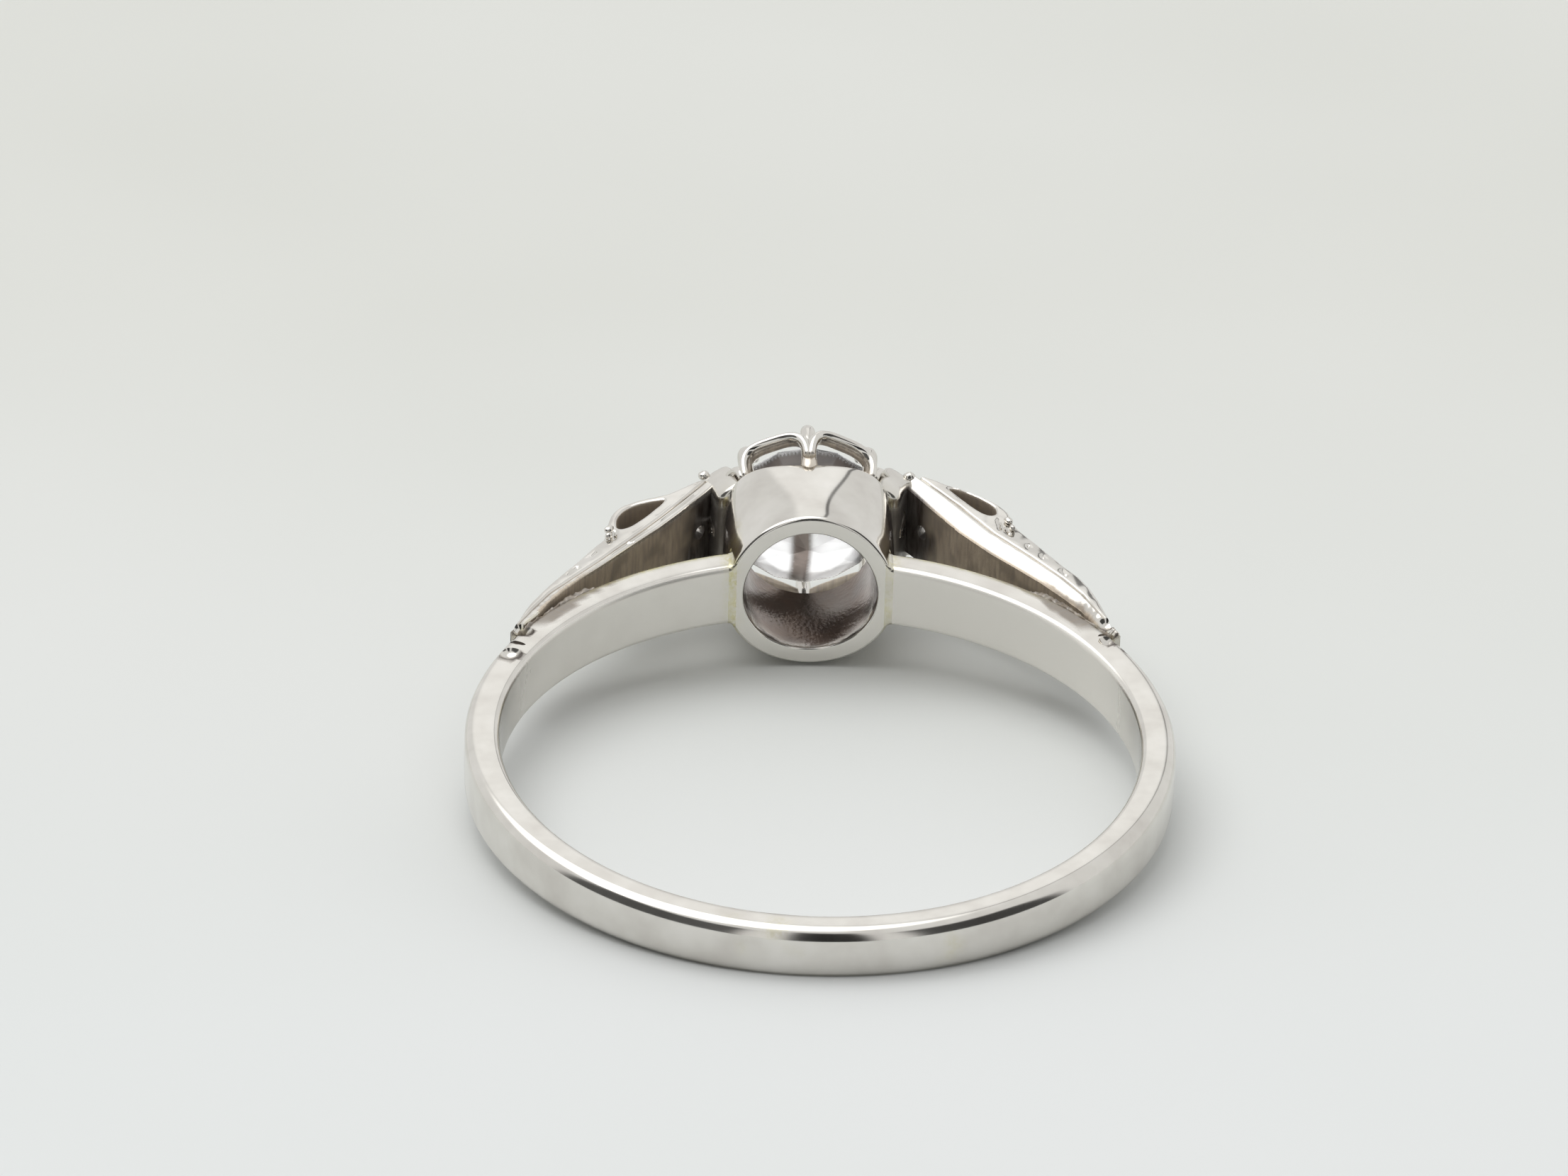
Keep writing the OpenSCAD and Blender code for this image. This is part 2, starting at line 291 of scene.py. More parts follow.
def makeGold(name, look):
    # White gold that was cast, filed and polished by hand. The eye sees a warm pale mirror with
    # hair scratches, brown grime darkened with painted shade in the corners and hollows, filed
    # faces lightened partly with painted light, and yellow-green solder along the joints.
    material, tree, shader = startMaterial(name)
    place = addNode(tree, "TexCoord")
    axes = addNode(tree, "SeparateXYZ", None, {0: (place, "Object")})
    turn = addNode(tree, "Math", {"operation": "ARCTAN2"}, {0: (axes, "Y"), 1: (axes, "X")})
    # File strokes that run along the finger: fine round the band and long across it
    across = addNode(tree, "Math", {"operation": "MULTIPLY", 1: look["strokeRound"]}, {0: (turn, 0)})
    along = addNode(tree, "Math", {"operation": "MULTIPLY", 1: look["strokeAlong"] / mm}, {0: (axes, "Z")})
    grainAt = addNode(tree, "CombineXYZ", None, {0: (across, 0), 1: (along, 0)})
    strokes = addNode(tree, "TexNoise", {"Scale": 1 / look["strokeSpacing"], "Detail": 3.0},
                      {"Vector": (grainAt, 0)})
    blotch = addNode(tree, "TexNoise", {"Scale": 1 / (look["blotch"] * mm), "Detail": 3.0},
                     {"Vector": (place, "Object")})
    pits = addNode(tree, "TexNoise", {"Scale": 1 / (look["pit"] * mm), "Detail": 2.0},
                   {"Vector": (place, "Object")})
    # Long random hair scratches from wear
    worn = addNode(tree, "Mapping", {"Rotation": (0.4, 0.2, 0.9), "Scale": (1, look["hairThin"], 1)},
                   {"Vector": (place, "Object")})
    hairs = addNode(tree, "TexNoise", {"Scale": 1 / (look["hair"] * mm), "Detail": 1.0},
                    {"Vector": (worn, 0)})
    # Marks painted on the mesh: grime with painted shade in it, how deep that painted shade is, filed satin
    # lightened partly with painted light, and solder stain
    grime, soot, filed, stain = (addNode(tree, "Attribute", {"attribute_name": label})
                                 for label in ("grime", "soot", "filed", "stain"))
    # The painted marks are broken up, so that they don't end in clean lines
    grimeTexture = blotch if look["blotchy"] else strokes
    patchy = addRamp(tree, grimeTexture, 0, [(0.3, 0.75), (0.65, 1.0)])
    dirtAndShade = addNode(tree, "Math", {"operation": "MULTIPLY", "use_clamp": True},
                     {0: (grime, "Fac"), 1: (patchy, 0)})
    speckled = addRamp(tree, pits, 0, [(0.35, 0.35), (0.6, 1.0)])
    stained = addNode(tree, "Math", {"operation": "MULTIPLY", "use_clamp": True},
                      {0: (stain, "Fac"), 1: (speckled, 0)})
    # Colour: bare metal, then solder, grime darkened towards painted shade, and a lighter satin, partly
    # painted light, where it was filed
    clean = addRamp(tree, blotch, 0, [(0.3, look["dark"]), (0.55, look["base"]), (0.75, look["light"])])
    solder = addRamp(tree, blotch, 0, [(0.3, look["solderDark"]), (0.7, look["solderLight"])])
    grimeShadeColour = addRamp(tree, grimeTexture, 0, [(0.3, look["grimeDark"]), (0.5, look["grimeMid"]),
                                         (0.72, look["grimeLight"])])
    shadedGrime = addNode(tree, "Mix", {"data_type": "RGBA", 7: linear(look["soot"])},
                    {"Factor": (soot, "Fac"), 6: (grimeShadeColour, 0)})
    soldered = addNode(tree, "Mix", {"data_type": "RGBA"},
                       {"Factor": (stained, 0), 6: (clean, 0), 7: (solder, 0)})
    dirty = addNode(tree, "Mix", {"data_type": "RGBA"},
                    {"Factor": (dirtAndShade, 0), 6: (soldered, 2), 7: (shadedGrime, 2)})
    colour = addNode(tree, "Mix", {"data_type": "RGBA", 7: linear(look["satin"])},
                     {"Factor": (filed, "Fac"), 6: (dirty, 2)})
    tree.links.new(colour.outputs[2], shader.inputs["Base Color"])
    bare = addNode(tree, "MapRange", {3: 1.0, 4: look["grimeMetal"]}, {0: (dirtAndShade, 0)})
    frosted = addNode(tree, "MapRange", {3: 1.0, 4: look["satinMetal"]}, {0: (filed, "Fac")})
    metal = addNode(tree, "Math", {"operation": "MINIMUM"}, {0: (bare, 0), 1: (frosted, 0)})
    tree.links.new(metal.outputs[0], shader.inputs["Metallic"])
    rough = addNode(tree, "MapRange", {3: look["roughness"] * look["polishedShare"],
                                       4: look["roughness"] * look["wornShare"]}, {0: (blotch, 0)})
    for mask, added in [((dirtAndShade, 0), look["grimeRough"]), ((stained, 0), look["solderRough"]),
                        ((filed, "Fac"), look["satinRough"])]:
        rough = addNode(tree, "Math", {"operation": "MULTIPLY_ADD", 1: added, "use_clamp": True},
                        {0: mask, 2: (rough, 0)})
    tree.links.new(rough.outputs[0], shader.inputs["Roughness"])
    filedStrokes = addNode(tree, "Math", {"operation": "MULTIPLY"}, {0: (strokes, 0), 1: (filed, "Fac")})
    grimePits = addNode(tree, "Math", {"operation": "MULTIPLY"}, {0: (pits, 0), 1: (dirtAndShade, 0)})
    relief = None
    for label, height in [("stroke", filedStrokes), ("hair", hairs), ("pit", grimePits)]:
        below = {"Normal": (relief, 0)} if relief else {}
        reach = look[label + "Height"] * mm
        relief = addNode(tree, "Bump", {"Strength": look[label + "Depth"], "Distance": reach},
                         {"Height": (height, 0), **below})
    tree.links.new(relief.outputs[0], shader.inputs["Normal"])
    return material


diamondLook = {
    # shade holds the painted shade colours on the stone; the last value is the strength of its painted glow
    "ior": 2.417, "trace": 0.6, "clear": ["#FFFFFF", "#F8F9FB"], "shade": ["#3A302B", "#5A4B43"],
    "filmRough": 0.32, "gathered": 0.3,
}


def makeDiamond(name, look):
    # Cut diamond: clear, with hard flashes, and a film of soap and skin oil on its underside that
    # turns the light soft; painted brown shade near the girdle and a painted glow where the film is
    material, tree, shader = startMaterial(name)
    place = addNode(tree, "TexCoord")
    trace = addNode(tree, "TexNoise", {"Scale": 1 / (look["trace"] * mm), "Detail": 2.0},
                    {"Vector": (place, "Object")})
    clear = addRamp(tree, trace, 0, list(zip((0.4, 0.7), look["clear"])))
    brown = addRamp(tree, trace, 0, list(zip((0.35, 0.65), look["shade"])))
    grime, haze = (addNode(tree, "Attribute", {"attribute_name": label}) for label in ("grime", "haze"))
    tint = addNode(tree, "Mix", {"data_type": "RGBA"},
                   {"Factor": (grime, "Fac"), 6: (clear, 0), 7: (brown, 0)})
    blur = addNode(tree, "MapRange", {3: 0.0, 4: look["filmRough"]}, {0: (haze, "Fac")})
    tree.links.new(tint.outputs[2], shader.inputs["Base Color"])
    tree.links.new(blur.outputs[0], shader.inputs["Roughness"])
    # Painted glow: the filmed underside gives off light of its own, less where the painted shade is, so that
    # the stone stays bright
    glow = addNode(tree, "Math", {"operation": "SUBTRACT", "use_clamp": True},
                   {0: (haze, "Fac"), 1: (grime, "Fac")})
    gathered = addNode(tree, "Math", {"operation": "MULTIPLY", 1: look["gathered"]}, {0: (glow, 0)})
    tree.links.new(gathered.outputs[0], shader.inputs["Emission Strength"])
    tree.links.new(clear.outputs[0], shader.inputs["Emission Color"])
    shader.inputs["Transmission Weight"].default_value = 1.0
    shader.inputs["IOR"].default_value = look["ior"]
    return material


# Grime colours for the band, solder and collet; in the bore and under the arms they also stand in for shade
darkGrimeAndShade = {"grimeDark": "#4E4136", "grimeMid": "#6B5D4E", "grimeLight": "#8B7C69"}
brownGrimeAndShade = {"grimeDark": "#4A3B33", "grimeMid": "#6B5A50", "grimeLight": "#94857A"}
polishedGold = makeGold("polished_white_gold", goldLook)
brushedGold = makeGold("filed_white_gold", {**goldLook, **darkGrimeAndShade, "roughness": 0.12})
boredGold = makeGold("bored_white_gold", {**goldLook, **brownGrimeAndShade, "grimeRough": 0.08, "grimeMetal": 0.85,
                                          "blotchy": True})
solderGold = makeGold("solder_white_gold", {**goldLook, **darkGrimeAndShade, "roughness": 0.16, "hairDepth": 0.2})
diamond = makeDiamond("cut_diamond", diamondLook)
print("materials made")


bandLow, bandHigh = cadBox("shank")
colletLow, colletHigh = cadBox("collet")
boreRadius = frame["record"]["mounts"][0]["dims"]["r_mm"]
outerRadius = bandHigh[0]
railEndX = cadBox("rail_solder_right")[1][0]
flatX = cadBox("rail_solder_right")[0][0]
headHalf = cadBox("rail_solder_right")[1][2]
colletTop = colletHigh[1]
claws = 8

shoulder = {
    "headAt": (2.77, 12.55),   # where the arm's underside leaves the crown
    "footAngle": 46.0,         # where the underside meets the band
    "crownHalf": 1.25,         # half its width at the crown
}
armX, armY = shoulder["headAt"]
footX, footY = polar(outerRadius, shoulder["footAngle"])
armLength = math.hypot(footX - armX, footY - armY)
armCos, armSin = (footX - armX) / armLength, (footY - armY) / armLength


def fromArm(points, side):
    # (s, h, z) in a shoulder's own frame, s down the arm and h outwards, to ring coordinates
    points = np.asarray(points, float)
    s, h, z = points[:, 0], points[:, 1], points[:, 2]
    return np.stack([side * (armX + s * armCos - h * armSin), armY + s * armSin + h * armCos, z], 1)


def toArm(points, side):
    points = np.asarray(points, float)
    x, y = points[:, 0] * side - armX, points[:, 1] - armY
    return x * armCos + y * armSin, -x * armSin + y * armCos, points[:, 2]


def bandTopInArm(s):
    # Height of the band's outer surface in the arm's frame
    centreS = -(armX * armCos + armY * armSin)
    centreH = armX * armSin - armY * armCos
    return centreH + np.sqrt(np.maximum(outerRadius ** 2 - (np.asarray(s, float) - centreS) ** 2, 0))


# Graver cuts at the shoulders' tails
scoops = {
    # angle, radius and height of each cut's middle, its size round, outwards and along the finger
    "right": [(34.6, 9.62, 1.03, (0.28, 0.34, 0.32)), (30.2, 9.24, 1.02, (0.28, 0.38, 0.32)),
              (26.6, 9.5, 1.03, (0.26, 0.26, 0.3)), (39.4, 9.52, 1.04, (0.4, 0.14, 0.2)),
              (32.3, 9.36, 0.98, (0.07, 0.3, 0.22))],
    "left": [(32.0, 9.32, 1.02, (0.28, 0.36, 0.32)), (28.2, 9.6, 1.03, (0.22, 0.26, 0.26)),
             (24.6, 9.06, 1.02, (0.32, 0.38, 0.32)), (28.2, 9.16, 0.96, (0.08, 0.3, 0.22))],
}


scoopReach = 1.12   # how far dirt reaches round each cut, in its own radii


def scoopCutter(name, side, angle, radius, height, size):
    points, faces = ball((0, 0, 0), (1, 1, 1), detail=4)
    a = math.radians(angle)
    radial = np.array([math.cos(a), math.sin(a), 0])
    around = np.array([-math.sin(a), math.cos(a), 0])
    points = (points[:, :1] * around * size[0] + points[:, 1:2] * radial * size[1]
              + points[:, 2:] * np.array([0, 0, size[2]]))
    points = points + radial * radius + np.array([0, 0, height])
    points[:, 0] *= side
    return addCutter(name, points, faces)


def scoopShade(co, side):
    # Painted shade: one half of each cut is dark, and the halves alternate, so that the cuts read as a row of
    # hooks
    mirrored = co * [side, 1, 1]
    dark = np.zeros(len(co))
    for k, (angle, radius, height, size) in enumerate(scoops["right" if side > 0 else "left"]):
        a = math.radians(angle)
        offset = mirrored - [radius * math.cos(a), radius * math.sin(a), 0]
        around = (-math.sin(a) * offset[:, 0] + math.cos(a) * offset[:, 1]) / size[0]
        outward = (math.cos(a) * offset[:, 0] + math.sin(a) * offset[:, 1]) / size[1]
        upward = (np.abs(offset[:, 2]) - height) / size[2]
        near = np.sqrt(around ** 2 + outward ** 2 + upward ** 2) < scoopReach
        way = 1 if k % 2 else -1
        dark = np.maximum(dark, near * smooth(-0.3, 0.1, way * outward * 0.7 - around * 0.7))
    return dark


tailCutters = {}
for sideName, side in sides.items():
    tailCutters[sideName] = []
    for k, (angle, radius, height, size) in enumerate(scoops[sideName]):
        for face in (1, -1):
            label = "cutter_" + sideName + str(k) + ("t" if face > 0 else "b")
            tailCutters[sideName].append(scoopCutter(label, side, angle, radius, face * height, size))


band = {
    "backWidth": 1.5, "innerRound": 0.16, "outerRound": 0.2, "backRound": 0.33, "crown": 0.02,
    "sideCrown": 0.04, "cornerSteps": 7, "flatSteps": 6,
    # degrees between slices, finer within reach of the graver cuts
    "step": 1.5, "fineStep": 0.35, "fineReach": 7, "fineAt": (29, -209),
}


def bandHalfWidth(y):
    t = (y + outerRadius) / (2 * outerRadius)
    return band["backWidth"] / 2 + (headHalf - band["backWidth"] / 2) * t


def bandSection(inner, outer, half, innerRound, outerRound, crown=0.0):
    # Rounded rectangle as (r, z), running round the section once
    corners = []
    for cr, cz, start, radius in [(outer - outerRound, half - outerRound, 0, outerRound),
                                  (inner + innerRound, half - innerRound, 90, innerRound),
                                  (inner + innerRound, -half + innerRound, 180, innerRound),
                                  (outer - outerRound, -half + outerRound, 270, outerRound)]:
        for k in range(band["cornerSteps"] + 1):
            r, z = polar(radius, start + 90 * k / band["cornerSteps"])
            corners.append((cr + r, cz + z))
    outline = []
    for i, p in enumerate(corners):
        q = corners[(i + 1) % len(corners)]
        parts = 1 if (i + 1) % (band["cornerSteps"] + 1) else band["flatSteps"]
        outline += [(p[0] + (q[0] - p[0]) * k / parts, p[1] + (q[1] - p[1]) * k / parts)
                    for k in range(parts)]
    # The outer face is crowned a little, and so are the flat sides
    middle = (outer + inner) / 2
    section = []
    for r, z in outline:
        bulge = crown * (1 - (z / half) ** 2) if r > outer - 0.01 else 0
        pinch = band["sideCrown"] * ((r - middle) / (outer - middle)) ** 2
        section.append((r + bulge, z * (1 - pinch / half)))
    return section


def buildBand():
    # Slices from the right rail's end, round the back, to the left rail's end
    startAngle = math.degrees(math.acos(railEndX / ((boreRadius + outerRadius) / 2)))
    sweep = 180 + 2 * startAngle
    turns = [0.0]
    angle = startAngle
    while angle > startAngle - sweep:
        near = min(abs(angle - at) for at in band["fineAt"])
        angle -= band["fineStep"] if near < band["fineReach"] else band["step"]
        turns.append(min((startAngle - angle) / sweep, 1.0))
    rings = []
    for t in turns:
        y = boreRadius * math.sin(math.radians(startAngle - t * sweep))
        worn = float(smooth(-1, 7, -y))
        outerRound = band["outerRound"] + (band["backRound"] - band["outerRound"]) * worn
        ring = []
        for r, z in bandSection(boreRadius, outerRadius, bandHalfWidth(y), band["innerRound"], outerRound,
                                band["crown"]):
            end = math.degrees(math.acos(railEndX / r))
            ring.append((*polar(r, end - t * (180 + 2 * end)), z))
        rings.append(np.array(ring))
    return loft(rings)


def bandGrime(co):
    # Residue on the outer surface under each arm, a little at the tails, and painted shade in one half of
    # each graver cut
    r, y = np.hypot(co[:, 0], co[:, 1]), co[:, 1]
    under = smooth(outerRadius - 0.12, outerRadius - 0.02, r) * smooth(6.0, 6.5, y) * fade(8.8, 9.15, y)
    # The crevice's dirt spills over the flat side near the tails
    reach = 0.28 + 0.3 * fade(5.6, 7.4, y)
    spill = smooth(outerRadius - reach, outerRadius - reach + 0.1, r + 0.12 * lumps(co, 0.3, 8.0))
    foot = spill * smooth(5.0, 5.5, y) * fade(7.3, 8.2, y)
    return np.maximum(np.maximum(0.9 * under, 0.8 * foot), bandSoot(co))


def bandSoot(co):
    # Painted shade in the graver cuts
    return np.where(co[:, 0] > 0, scoopShade(co, 1), scoopShade(co, -1))


def bandStain(co):
    r = np.hypot(co[:, 0], co[:, 1])
    edge = smooth(outerRadius - 0.34, outerRadius - 0.14, r) * smooth(6.0, 7.2, co[:, 1])
    edge = edge * np.where(co[:, 0] < 0, 1.0, 0.7)
    joint = 0.5 * fade(railEndX, railEndX + 0.3, np.abs(co[:, 0])) * (co[:, 1] > 0)
    back = fade(-9.2, -8.2, co[:, 1]) * fade(3, 5, np.abs(co[:, 0]))
    spots = 0.3 * smooth(0.25, 0.55, lumps(co, 0.9, 4.0)) * back
    return np.maximum(np.maximum(edge, joint), spots)


def bandFiled(co):
    # File marks stay inside the rails, more on the right one; their lighter, less metallic colour is partly
    # the satin finish and partly painted light
    r = np.hypot(co[:, 0], co[:, 1])
    strength = np.where(co[:, 0] > 0, 1, 0.65)
    return fade(boreRadius + 0.04, boreRadius + 0.1, r) * smooth(1, 4, co[:, 1]) * strength


points, faces = buildBand()
addPiece("band", points, faces, brushedGold, ["shank"],
         cutters=tailCutters["right"] + tailCutters["left"],
         marks={"grime": bandGrime, "stain": bandStain, "filed": bandFiled, "soot": bandSoot})
print("band made")


# Solder between the rails and the collet
seam = {
    "flare": 0.17, "flareLong": 0.12, "thinning": 0.35, "steps": 6, "stain": {"right": 0.45, "left": 0.75},
}

for sideName, side in sides.items():
    rings = []
    for k in range(seam["steps"] + 1):
        t = k / seam["steps"]
        x = railEndX + (flatX - railEndX) * t
        grow = t ** 2
        section = bandSection(boreRadius, outerRadius + seam["flareLong"] * grow,
                              headHalf + seam["flare"] * grow,
                              band["innerRound"] * (1 - seam["thinning"] * t), band["outerRound"])
        rings.append(np.array([(side * x, math.sqrt(max(r * r - x * x, 0)), z) for r, z in section]))
    points, faces = loft(rings)
    strength = seam["stain"][sideName]
    stain = lambda co: strength * (0.6 + 0.4 * smooth(-0.2, 0.3, lumps(co, 0.25, 2.0)))
    addPiece("rail_seam_" + sideName, points, faces, solderGold, ["rail_solder_" + sideName],
             marks={"stain": stain})


collet = {
    "radius": 2.35, "bore": 1.84, "topHalf": 2.339, "cornerPower": 3.3, "waist": 9.7,
    "belly": 0.035, "bellyFrom": 8.6, "rimRound": 0.13, "boreRound": 0.05, "topRound": 0.1,
    "bevel": 0.03, "turnSteps": 144, "slotTop": 9.22, "slotGap": 0.005,
}


def colletOuter(angle, y):
    # Round below, a rounded square at the top, with a slight belly between
    t = float(smooth(collet["waist"] - 0.7, colletTop, y)) ** 0.8
    c, s = abs(math.cos(angle)), abs(math.sin(angle))
    p = collet["cornerPower"]
    square = collet["topHalf"] / (c ** p + s ** p) ** (1 / p)
    rise = (y - collet["bellyFrom"]) / (colletTop - collet["bellyFrom"])
    belly = collet["belly"] * math.sin(math.pi * min(max(rise, 0), 1))
    return collet["radius"] * (1 - t) + square * t + belly


def buildCollet():
    # Each slice runs up the outside wall, over the top and down the bore
    rim, bevel, topRound = collet["rimRound"], collet["boreRound"], collet["topRound"]
    bore, lip = collet["bore"], collet["bevel"]
    columns = []
    n = collet["turnSteps"]
    for k in range(n):
        a = 2 * math.pi * k / n
        column = []
        foot = lambda r: math.sqrt(boreRadius ** 2 - (r * math.cos(a)) ** 2)
        outer = colletOuter(a, collet["bellyFrom"] - 0.2)
        for q in np.radians(np.arange(7) * 15):
            r = outer - rim + rim * math.sin(q)
            column.append((r, foot(r) + rim * (1 - math.cos(q))))
        low = foot(outer) + rim
        for j in range(1, 17):
            y = low + (colletTop - topRound - low) * j / 17
            column.append((colletOuter(a, y), y))
        top = colletOuter(a, colletTop - topRound)
        for q in np.radians(np.arange(6) * 18):
            x, y = topRound * math.cos(q), topRound * math.sin(q)
            column.append((top - topRound + x, colletTop - topRound + y))
        column += [(bore + 0.25, colletTop), (bore + lip, colletTop), (bore, colletTop - lip)]
        inner = foot(bore) + bevel
        for j in range(1, 13):
            column.append((bore, colletTop - lip + (inner - colletTop + lip) * j / 12))
        for q in np.radians(np.arange(1, 4) * 30):
            r = bore + bevel * (1 - math.cos(q))
            column.append((r, foot(r) + bevel * (1 - math.sin(q))))
        columns.append(np.array([(r * math.cos(a), y, r * math.sin(a)) for r, y in column]))
    m = len(columns[0])
    faces = []
    for k in range(n):
        after = (k + 1) % n
        for j in range(m):
            up = (j + 1) % m
            faces.append((k * m + j, after * m + j, after * m + up, k * m + up))
    return np.concatenate(columns), faces


def boxShape(low, high):
    mesh = bmesh.new()
    bmesh.ops.create_cube(mesh, size=1)
    points, faces = takeMesh(mesh)
    low, high = np.array(low, float), np.array(high, float)
    return points * (high - low) + (low + high) / 2, faces


def colletGrime(co):
    radius = np.hypot(co[:, 0], co[:, 2])
    inside = fade(collet["bore"] + 0.002, collet["bore"] + 0.02, radius)
    # Painted shade with brown grime: the lower half of the bore is darkened, and so are the sides that face
    # the arms
    low = smooth(-0.2, 1.3, -co[:, 2]) * 0.55 + 0.45
    flank = smooth(1.75, 2.2, np.abs(co[:, 0])) * smooth(9.35, 9.6, co[:, 1]) * fade(1.1, 1.6, co[:, 2])
    return np.maximum(inside * low * smooth(8.3, 8.9, co[:, 1]), 0.85 * flank * (1 - inside))


def colletStain(co):
    outside = np.hypot(co[:, 0], co[:, 2]) > 1.9
    joint = smooth(1.85, 2.1, np.abs(co[:, 0])) * fade(9.4, 10.2, co[:, 1]) * outside
    return joint * np.where(co[:, 0] < 0, 0.8, 0.35) * (0.4 + 0.6 * smooth(-0.3, 0.3, lumps(co, 0.3, 7.0)))


def colletFiled(co):
    # The rim that meets the finger was filed flush with the rails; its lighter satin colour is partly painted
    # light
    outside = np.hypot(co[:, 0], co[:, 2]) > collet["bore"] + 0.03
    return 0.8 * fade(boreRadius + 0.004, boreRadius + 0.02, np.hypot(co[:, 0], co[:, 1])) * outside


slots = []
for side in (1, -1):
    near, far = sorted((side * flatX, side * 4))
    half = headHalf + collet["slotGap"]
    points, faces = boxShape((near, 7, -half), (far, collet["slotTop"], half))
    slots.append(addCutter("cutter_slot" + str(side), points, faces))
points, faces = buildCollet()
addPiece("collet_cup", points, faces, boredGold, ["collet"], cutters=slots,
         marks={"grime": colletGrime, "stain": colletStain, "filed": colletFiled})
print("collet made")


crown = {
    "circle": 2.42, "thick": 0.44, "footThick": 0.56, "tipThick": 0.34, "reach": 0.36, "clawFlat": 0.92,
    "sway": 0.04, "wire": 0.32, "archRise": 0.86, "sideRise": 0.62, "archLean": 20, "archFoot": 11.74,
    "square": 0.62, "deep": 1.7, "archSkew": 0.24, "clawSteps": 34, "archSteps": 33,
}

# The claw rises from the collet's edge, narrows and bends in over the girdle: how far out from the
# claws' circle, how far above the collet and how thick
clawShape = [
    (-0.3, -0.14, crown["footThick"] * 0.8), (-0.24, 0.0, crown["footThick"] * 0.92),
    (-0.17, 0.14, crown["footThick"] * 0.88), (-0.1, 0.32, crown["thick"]),
    (-0.03, 0.7, crown["thick"] * 0.96), (0.03, 1.1, crown["thick"]),
    (0.06, 1.4, crown["thick"] * 0.98), (0.03, 1.62, crown["thick"] * 0.92),
    (-0.09, 1.78, crown["tipThick"] * 1.1), (-0.26, 1.84, crown["tipThick"]),
    (-crown["reach"], 1.8, crown["tipThick"] * 0.8),
]


def crownPoint(radius, angle, y):
    return np.array([radius * math.cos(angle), y, radius * math.sin(angle)])


for i in range(claws):
    a = 2 * math.pi * i / claws
    path = np.array([crownPoint(crown["circle"] + r, a, colletTop + y) for r, y, thick in clawShape])
    fine = np.linspace(0, len(path) - 1, crown["clawSteps"])
    stops = range(len(clawShape))
    path = np.stack([np.interp(fine, stops, path[:, axis]) for axis in range(3)], 1)
    radii = np.interp(fine, stops, [thick / 2 for r, y, thick in clawShape])
    for _ in range(2):
        path[1:-1] = (path[:-2] + 2 * path[1:-1] + path[2:]) / 4
    sway = [noise.noise(Vector((i * 3.7, 1.0, 0))), 0, noise.noise(Vector((i * 2.9, 5.0, 0)))]
    path = path + crown["sway"] * np.array(sway) * np.linspace(0, 1, len(path))[:, None]
    points, faces = loft(tube(path, radii, 20, crown["clawFlat"], crownPoint(1, a, 0)))
    # The claws are darker at their feet, next to the collet
    darkening = lambda co: 0.45 * fade(colletTop + 0.05, colletTop + 0.5, co[:, 1])
    addPiece("crown_claw_" + str(i + 1), points, faces, polishedGold, ["claw_" + str(i + 1)],
             marks={"grime": darkening})

for i in range(claws):
    middle = 2 * math.pi * (i + 0.5) / claws
    spread = crown["circle"] * math.sin(math.pi / claws)
    lean = math.radians(crown["archLean"])
    skew = crown["archSkew"] * noise.noise(Vector((i * 1.9, 0.3, 2.0)))
    tall = crown["sideRise"] if abs(math.cos(middle)) > 0.9 else crown["archRise"]
    path = []
    for q in np.linspace(0, math.pi, crown["archSteps"]):
        # A squarish arch: both directions follow a flattened circle
        along = spread * math.copysign(abs(math.cos(q)) ** crown["square"], math.cos(q))
        rise = tall * max(math.sin(q), 0) ** crown["square"] * (1 + skew * math.cos(q))
        out = crown["circle"] * math.cos(math.pi / claws) + rise * math.sin(lean)
        base = crownPoint(out, middle, crown["archFoot"] + rise * math.cos(lean))
        path.append(base + along * np.array([-math.sin(middle), 0, math.cos(middle)]))
    radii = [crown["wire"] / 2] * len(path)
    points, faces = loft(tube(path, radii, 16, crown["deep"], crownPoint(1, middle, 0)))
    # Each arch is darker on its inner side, towards the stone
    inner = lambda co: 0.85 * fade(2.5, 2.68, np.hypot(co[:, 0], co[:, 2]))
    addPiece("arch_wire_" + str(i + 1), points, faces, polishedGold,
             ["gallery_arch_" + str(i + 1)], marks={"grime": inner})
print("crown made")


def brilliant(diameter, girdle, tableShare, crownAngle, pavilionAngle, lower=0.77, star=0.52, culet=0.015):
    # The 57 facets of a round brilliant, girdle plane at z = 0, as the hull of their corners
    r, half = diameter / 2, girdle / 2
    table = tableShare * r
    tanCrown, tanPavilion = math.tan(math.radians(crownAngle)), math.tan(math.radians(pavilionAngle))
    mitre = math.cos(math.pi / 8)
    starAt = table * mitre + star * (r - table * mitre)
    lowerAt = (1 - lower) * r / mitre
    mesh = bmesh.new()
    for k in range(8):
        a, b = math.pi * k / 4, math.pi * (k + 0.5) / 4
        for radius, turn, z in [(table, a, half + (r - table) * tanCrown),
                                (starAt, b, half + (r - starAt * mitre) * tanCrown),
                                (lowerAt, b, -half - (r - lowerAt * mitre) * tanPavilion),
                                (culet * r, a, -half - (r - culet * r) * tanPavilion),
                                (r, a, half), (r, a, -half), (r, b, half), (r, b, -half)]:
            mesh.verts.new((radius * math.cos(turn), radius * math.sin(turn), z))
    bmesh.ops.convex_hull(mesh, input=mesh.verts)
    bmesh.ops.dissolve_limit(mesh, angle_limit=math.radians(0.6), verts=mesh.verts, edges=mesh.edges)
    return takeMesh(mesh)


